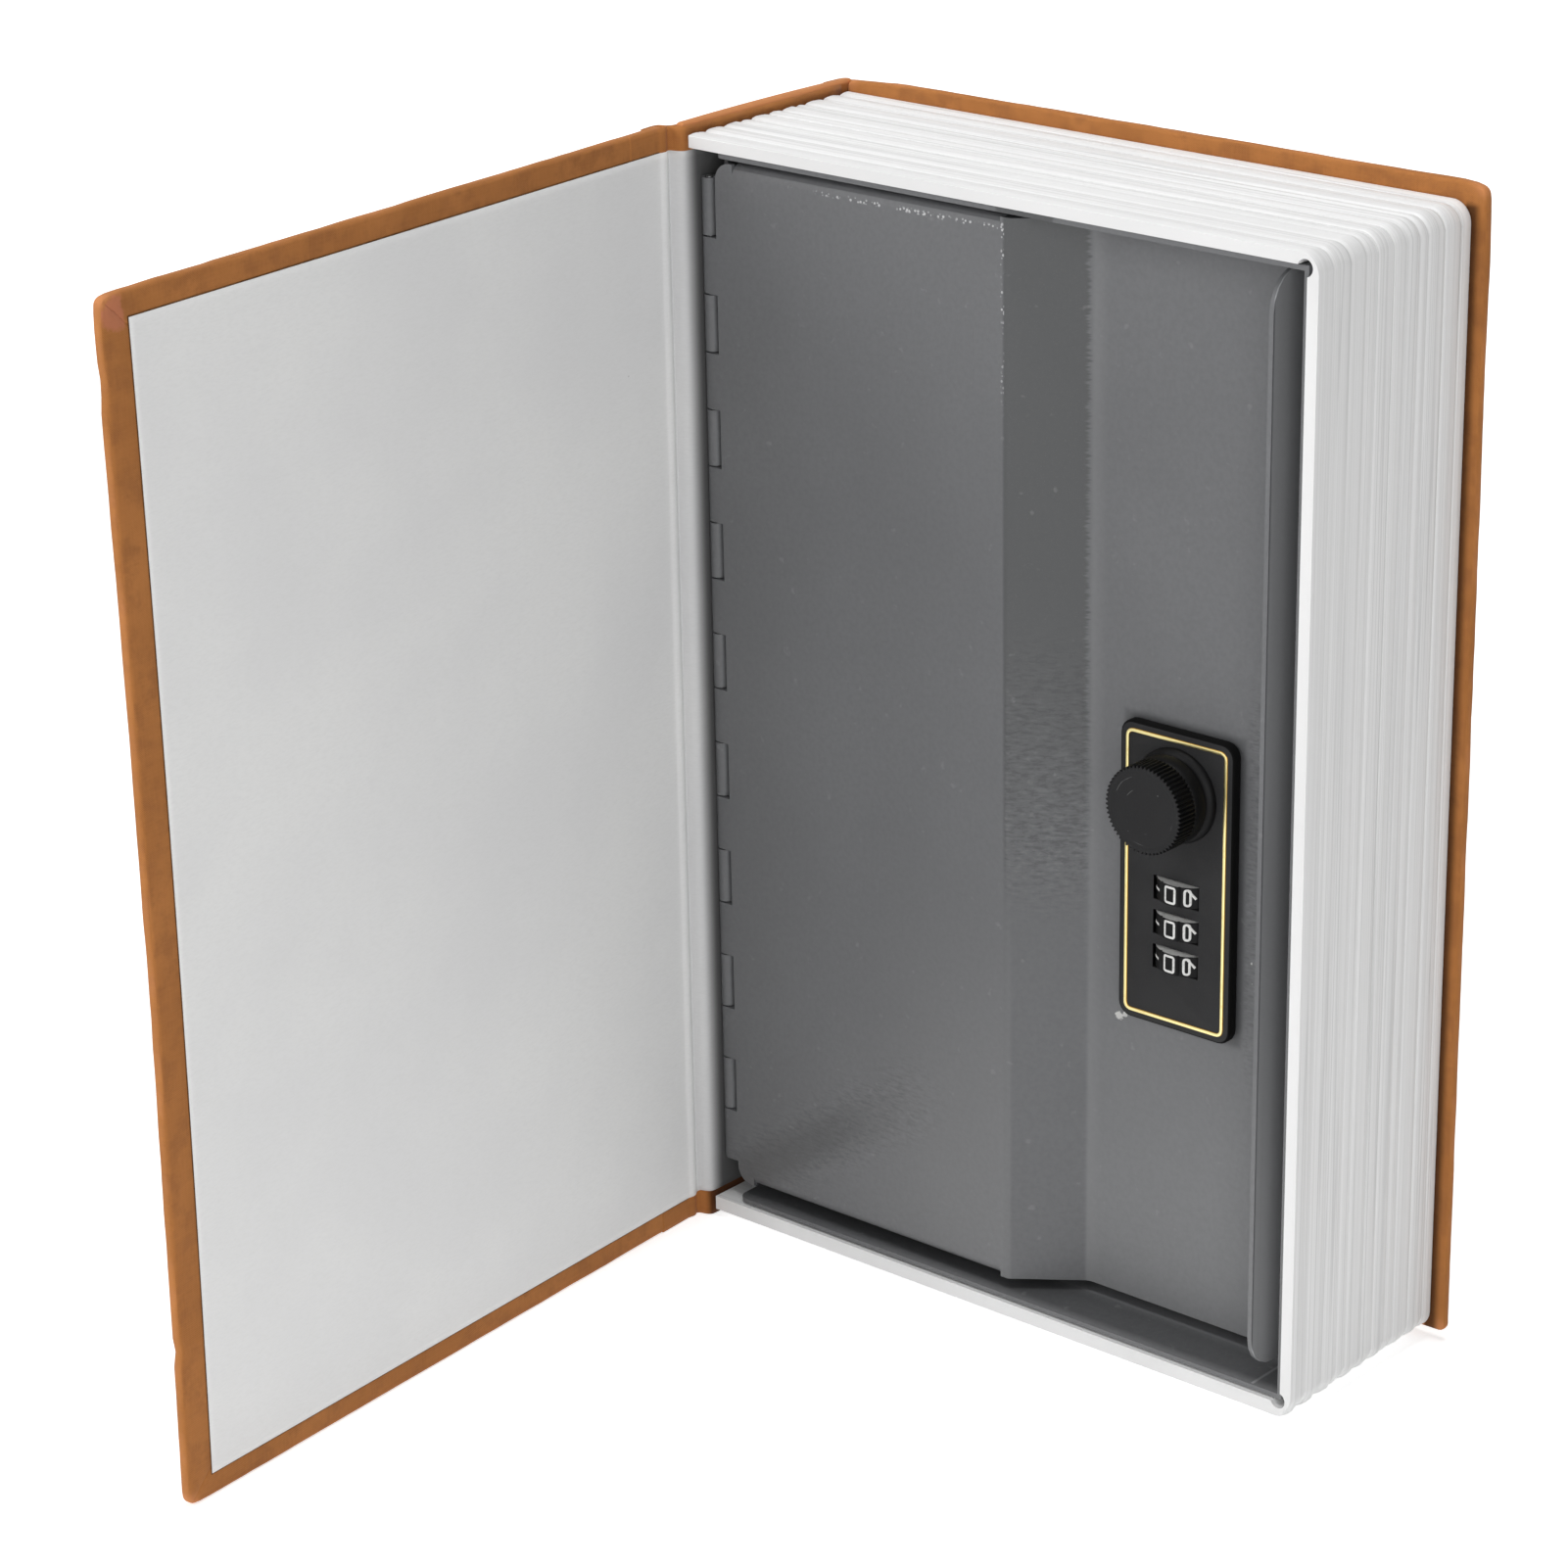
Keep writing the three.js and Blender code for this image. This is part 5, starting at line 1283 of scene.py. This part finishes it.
# %% [markdown]
# Turned parts are a profile spun round an axis. The knob's profile has a shallow ring in its face, a
# straight band for the teeth and a domed skirt behind it. The teeth come afterwards: the band's
# points are drawn in, two on and two off, all the way round.

# %% Turned parts
knob_joint = joints["lock_knob"]
knob_x, _, knob_z = knob_joint["pos_m"]


def turned(profile, x, z, steps):
    """A closed shape turned round a front-to-back axis, from (radius, depth) pairs in metres."""
    bm = bmesh.new()
    verts = [bm.verts.new((x + radius, depth, z)) for radius, depth in profile]
    edges = [bm.edges.new(pair) for pair in zip(verts, verts[1:])]
    bmesh.ops.spin(bm, geom=verts + edges, cent=(x, 0, z), axis=(0, 1, 0), dvec=(0, 0, 0),
                   angle=2 * math.pi, steps=steps, use_merge=True, use_duplicate=False)
    bmesh.ops.remove_doubles(bm, verts=bm.verts, dist=1e-6)
    bmesh.ops.recalc_face_normals(bm, faces=bm.faces)
    return bm


def quarter_arc(radius, depth, swing_radius, swing_depth, steps, start=0.0, end=1.0):
    """Places on a quarter ellipse, from its start share to its end share."""
    places = []
    for step in range(steps + 1):
        angle = math.pi / 2 * (start + (end - start) * step / steps)
        places.append((radius + swing_radius * math.sin(angle), depth + swing_depth * (1 - math.cos(angle))))
    return places


KNOB_TEETH = 60
POINTS_A_TOOTH = 4
TOOTH_DEPTH = 0.46 * MM
knob_low, knob_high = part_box("knob")
knob_radius = (knob_high.x - knob_low.x) / 2
knob_face = knob_low.y
band_end = knob_face + 5.2 * MM


def make_knob():
    profile = [
        (0, knob_face), (knob_radius * 0.45, knob_face), (knob_radius * 0.83, knob_face),
        (knob_radius * 0.85, knob_face + 0.06 * MM), (knob_radius * 0.87, knob_face),
        (knob_radius * 0.91, knob_face), (knob_radius - 0.22 * MM, knob_face + 0.02 * MM),
        (knob_radius - 0.05 * MM, knob_face + 0.12 * MM), (knob_radius, knob_face + 0.3 * MM),
        (knob_radius, knob_face + 2 * MM), (knob_radius, band_end - 0.35 * MM),
        (knob_radius - 0.15 * MM, band_end), (knob_radius - 0.9 * MM, band_end + 0.05 * MM),
    ]
    profile += quarter_arc(knob_radius - 0.9 * MM, band_end + 0.1 * MM, 0.9 * MM, 2.8 * MM, 8)
    profile += [(knob_radius - 0.5 * MM, knob_high.y), (0, knob_high.y)]
    bm = turned(profile, knob_x, knob_z, KNOB_TEETH * POINTS_A_TOOTH)
    for vert in bm.verts:
        across = Vector((vert.co.x - knob_x, 0, vert.co.z - knob_z))
        on_band = vert.co.y < band_end + 0.01 * MM and across.length > knob_radius - 0.25 * MM
        turn = math.atan2(across.z, across.x) / math.tau
        step = round(turn * KNOB_TEETH * POINTS_A_TOOTH) % POINTS_A_TOOTH
        if on_band and step in (0, 1):
            shorter = across * (1 - TOOTH_DEPTH / across.length)
            vert.co += shorter - across
    return bm


finish_piece(make_knob(), "knurled_knob", black_plastic, "knob", ["knob"],
             sharp_above=math.radians(40))

collar_low, collar_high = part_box("knob_collar")
collar_radius = (collar_high.x - collar_low.x) / 2
collar_inner = 3.4 * MM
collar_dome = quarter_arc(collar_radius - 3.4 * MM, collar_low.y, 3.4 * MM,
                          collar_high.y - collar_low.y - 0.1 * MM, 12)
collar_profile = [(collar_inner, collar_low.y)] + collar_dome + [
    (collar_radius, collar_high.y), (collar_inner, collar_high.y), (collar_inner, collar_low.y),
]
finish_piece(turned(collar_profile, knob_x, knob_z, 120), "knob_ring", black_plastic, "door",
             ["knob_collar"])

# %% [markdown]
# Each wheel is a disc with ten fields parted by fine notches. Its flat sides are painted pale as a
# highlight, and one shows as a grey crescent at the top of each window.

# %% Combination wheels
DIGITS = 10
POINTS_A_FIELD = 12
NOTCH_DEPTH = 0.3 * MM
FRONT_TURN = math.radians(-92.5)


# The pale flat sides are a painted highlight.
wheel_core = make_two_toned("wheel_core", 1500, (0.3, 0.7), (222, 222, 220), (236, 236, 234), Roughness=0.5)


def make_wheel(low, high, centre):
    radius = (high.x - low.x) / 2
    bm = bmesh.new()
    bmesh.ops.create_circle(bm, cap_ends=True, segments=DIGITS * POINTS_A_FIELD, radius=radius)
    move(bm, centre + Vector((0, 0, low.z - centre.z)))
    side = bmesh.ops.extrude_face_region(bm, geom=bm.faces[:])["geom"]
    move(bm, (0, 0, high.z - low.z), only(BMVert, side))
    flats = [face for face in bm.faces if len(face.verts) > 4]
    for inset in (0.55 * MM, 1.2 * MM):
        bmesh.ops.inset_region(bm, faces=flats, thickness=inset, use_even_offset=True)
    bmesh.ops.recalc_face_normals(bm, faces=bm.faces)
    for face in bm.faces:
        face.material_index = 1 if abs(face.normal.z) > 0.9 else 0
    for vert in bm.verts:
        across = Vector((vert.co.x - centre.x, vert.co.y - centre.y, 0))
        step = (math.atan2(across.y, across.x) - FRONT_TURN) / math.tau * DIGITS * POINTS_A_FIELD
        between_fields = round(step) % POINTS_A_FIELD == POINTS_A_FIELD // 2
        if between_fields and across.length > radius * 0.97:
            vert.co -= across.normalized() * NOTCH_DEPTH
    return bm


wheels = []
for number in (1, 2, 3):
    wheel_low, wheel_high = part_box(f"digit_wheel_{number}")
    wheel_centre = Vector(joints[f"wheel_{number}_turn"]["pos_m"])
    wheel_centre.z = (wheel_low.z + wheel_high.z) / 2
    wheel = finish_piece(make_wheel(wheel_low, wheel_high, wheel_centre), f"combination_wheel_{number}",
                         black_plastic, f"wheel_{number}", [f"digit_wheel_{number}"])
    wheel.data.materials.append(wheel_core.material)
    wheels.append((number, wheel_centre, (wheel_high.x - wheel_low.x) / 2))

# %% [markdown]
# The digits are drawn as such wheels have them: one even stroke with rounded corners. Each stroke is a
# curve with a round section, made into a mesh, flattened, cut into narrow strips so that it can bend,
# and wrapped round the rim. They lie on their side, with the feet toward the next higher digit. The
# gilt line of the plate is such a bead as well, left flat.

# %% Digits
STROKE = 0.5 * MM
DIGIT_WIDE = 3.2 * MM
DIGIT_TALL = 2.3 * MM
DIGIT_RAISE = 0.05 * MM
STRIP_WIDTH = 0.3 * MM
ROUNDING = 0.42 * MM
WIDE_ROUNDING = 0.6 * MM
BOX = [(0, 0), (1, 0), (1, 1), (0, 1)]
NINE_LOOP = [(0, 0.48), (1, 0.48), (1, 1), (0, 1)]
SIX_LOOP = [(0, 0), (1, 0), (1, 0.52), (0, 0.52)]
OPEN, CLOSED = False, True
DIGIT_STROKES = {
    0: [(BOX, CLOSED, ROUNDING)],
    1: [([(0.5, 0), (0.5, 1)], OPEN, 0)],
    2: [([(0, 1), (1, 1), (1, 0.52), (0, 0.48), (0, 0), (1, 0)], OPEN, ROUNDING)],
    3: [([(0, 1), (1, 1), (1, 0), (0, 0)], OPEN, ROUNDING), ([(0.3, 0.5), (1, 0.5)], OPEN, 0)],
    4: [([(0.35, 1), (0, 0.35), (1, 0.35)], OPEN, 0.1 * MM), ([(0.72, 0.75), (0.72, 0)], OPEN, 0)],
    5: [([(1, 1), (0, 1), (0, 0.55), (1, 0.55), (1, 0), (0, 0)], OPEN, ROUNDING)],
    6: [(SIX_LOOP, CLOSED, WIDE_ROUNDING), ([(0.04, 0.36), (0.56, 1)], OPEN, 0)],
    7: [([(0, 1), (1, 1), (0.35, 0)], OPEN, 0.1 * MM)],
    8: [(BOX, CLOSED, ROUNDING), ([(0, 0.5), (1, 0.5)], OPEN, 0)],
    9: [(NINE_LOOP, CLOSED, WIDE_ROUNDING), ([(0.96, 0.64), (0.44, 0)], OPEN, 0)],
}


def rounded(places, closed, radius, steps=5):
    """The places of a path, each corner replaced by a short arc."""
    path = []
    for index, place in enumerate(places):
        if not closed and index in (0, len(places) - 1):
            path.append(place)
            continue
        before = places[index - 1] - place
        after = places[(index + 1) % len(places)] - place
        start = place + before.normalized() * min(radius, before.length / 2)
        end = place + after.normalized() * min(radius, after.length / 2)
        for step in range(steps + 1):
            share = step / steps
            path.append(start * (1 - share) ** 2 + place * 2 * share * (1 - share) + end * share ** 2)
    return path


def bead(paths, width, rise):
    """Flattened beads along closed or open paths in the XY plane, standing up along Z."""
    curve = bpy.data.curves.new("bead", "CURVE")
    curve.dimensions = "3D"
    curve.bevel_depth = width / 2
    curve.bevel_resolution = 2
    curve.use_fill_caps = True
    for path, closed in paths:
        spline = curve.splines.new("POLY")
        spline.points.add(len(path) - 1)
        spline.use_cyclic_u = closed
        for point, place in zip(spline.points, path):
            point.co = (*place, 1)
    drawing = add_object("bead", curve)
    bm = bmesh.new()
    bm.from_mesh(drawing.evaluated_get(bpy.context.evaluated_depsgraph_get()).to_mesh())
    bpy.data.objects.remove(drawing)
    bmesh.ops.scale(bm, vec=(1, 1, 2 * rise / width), verts=bm.verts)
    return bm


def digit_mesh(digit):
    """A digit round the origin, cut into strips along its height."""
    paths = []
    for places, closed, radius in DIGIT_STROKES[digit]:
        placed = [Vector(((u - 0.5) * DIGIT_WIDE, (v - 0.5) * DIGIT_TALL, 0)) for u, v in places]
        paths.append((rounded(placed, closed, radius), closed))
    bm = bead(paths, STROKE, DIGIT_RAISE)
    reach = (DIGIT_TALL + STROKE) / 2
    slice_along(bm, Y_AXIS, -reach, reach, STRIP_WIDTH)
    return bm


def wrap_digits(centre, radius):
    """All ten digits round a rim, digit 0 at the front and 9 next on the fore-edge side."""
    ring = bmesh.new()
    for digit in range(DIGITS):
        bm = digit_mesh(digit)
        middle = FRONT_TURN - digit * math.tau / DIGITS
        for vert in bm.verts:
            turn = middle - vert.co.y / radius
            reach = radius + vert.co.z
            vert.co = centre + Vector((reach * math.cos(turn), reach * math.sin(turn), vert.co.x))
        placed = bpy.data.meshes.new("digit")
        bm.to_mesh(placed)
        bm.free()
        ring.from_mesh(placed)
    bmesh.ops.recalc_face_normals(ring, faces=ring.faces)
    return ring


for number, centre, radius in wheels:
    finish_piece(wrap_digits(centre, radius), f"wheel_digits_{number}", digit_paint,
                 f"wheel_{number}", sharp_above=math.radians(60))

# %% Gilt line
GILT_WIDTH = 0.8 * MM
GILT_INSET = 0.5 * MM
GILT_RISE = 0.17 * MM
GILT_CORNER = 1.5 * MM


def make_gilt_line():
    low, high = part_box("lock_trim")
    left, right = low.x + GILT_INSET, high.x - GILT_INSET
    bottom, top = low.z + GILT_INSET, high.z - GILT_INSET
    corners = [Vector((x, y, 0)) for x, y in ((left, bottom), (right, bottom), (right, top), (left, top))]
    bm = bead([(rounded(corners, CLOSED, GILT_CORNER), CLOSED)], GILT_WIDTH, GILT_RISE)
    upright = Matrix.Translation((0, high.y, 0)) @ Matrix.Rotation(math.pi / 2, 4, "X")
    bmesh.ops.transform(bm, matrix=upright, verts=bm.verts)
    return bm


finish_piece(make_gilt_line(), "gilt_bead", gilt, "door", ["lock_trim"])

# %% [markdown]
# The set is a pale floor and a soft studio. The camera sees plain white behind the object, and so do
# its gloss and its clear parts, while the light itself comes from a dim sky, a faint glow of the floor
# and a few large lamps.

# %% Floor, sky and lamps
SKY_LIGHT = 0.1
TABLE_LIGHT = 0.28
FLOOR_SIDE = 6
FLOOR_GLOW = 0.62
GLOW_REACH = (0.35, 1.2)
LAMP_SIDE = 0.9
LAMP_TARGET = Vector((0, 0, 0.11))
LAMPS = {
    "left_softbox": ((-0.73, -1.26, 0.79), 10.2),
    "camera_softbox": ((1.01, -1.2, 0.44), 6.8),
    "top_softbox": ((0, -0.06, 1.71), 16.4),
}


def make_floor():
    bm = bmesh.new()
    bmesh.ops.create_grid(bm, x_segments=1, y_segments=1, size=FLOOR_SIDE / 2)
    mesh = bpy.data.meshes.new("floor")
    bm.to_mesh(mesh)
    bm.free()
    floor = add_object("floor", mesh)
    pale = Finish("floor", Base_Color=srgb(236, 236, 236), Roughness=0.9, Emission_Color=(1, 1, 1))
    away = pale.near(Vector((0, 0, 0)))
    shown = pale.between(away, *GLOW_REACH, FLOOR_GLOW, 1)
    # For all other rays the floor glows faintly and lights the object as well.
    glow = pale.blend(pale.seen_directly(), (TABLE_LIGHT,) * 3, shown)
    pale.paint(Emission_Strength=1.0, Emission_Color=glow)
    mesh.materials.append(pale.material)
    return floor


def make_sky():
    world = bpy.data.worlds.new("studio")
    world.use_nodes = True
    sky = Nodes(world.node_tree)
    strength = sky.between(sky.seen_directly(), 0, 1, SKY_LIGHT, 1)
    light = sky.node("Background", None, {"Color": (1, 1, 1), "Strength": strength})
    output = sky.tree.nodes.new("ShaderNodeOutputWorld")
    sky.feed(output.inputs["Surface"], light)
    bpy.context.scene.world = world


def make_lamp(name, point, power):
    """A square softbox aimed at the book."""
    light = bpy.data.lights.new(name, "AREA")
    light.shape = "SQUARE"
    light.size = LAMP_SIDE
    light.energy = power
    lamp = add_object(name, light)
    lamp.location = point
    lamp.rotation_euler = (LAMP_TARGET - Vector(point)).to_track_quat("-Z", "Y").to_euler()


make_floor()
make_sky()
for lamp_name, (lamp_point, lamp_power) in LAMPS.items():
    make_lamp(lamp_name, lamp_point, lamp_power)
bpy.context.scene.view_settings.view_transform = "Standard"
print("lamps:", len(bpy.data.lights))
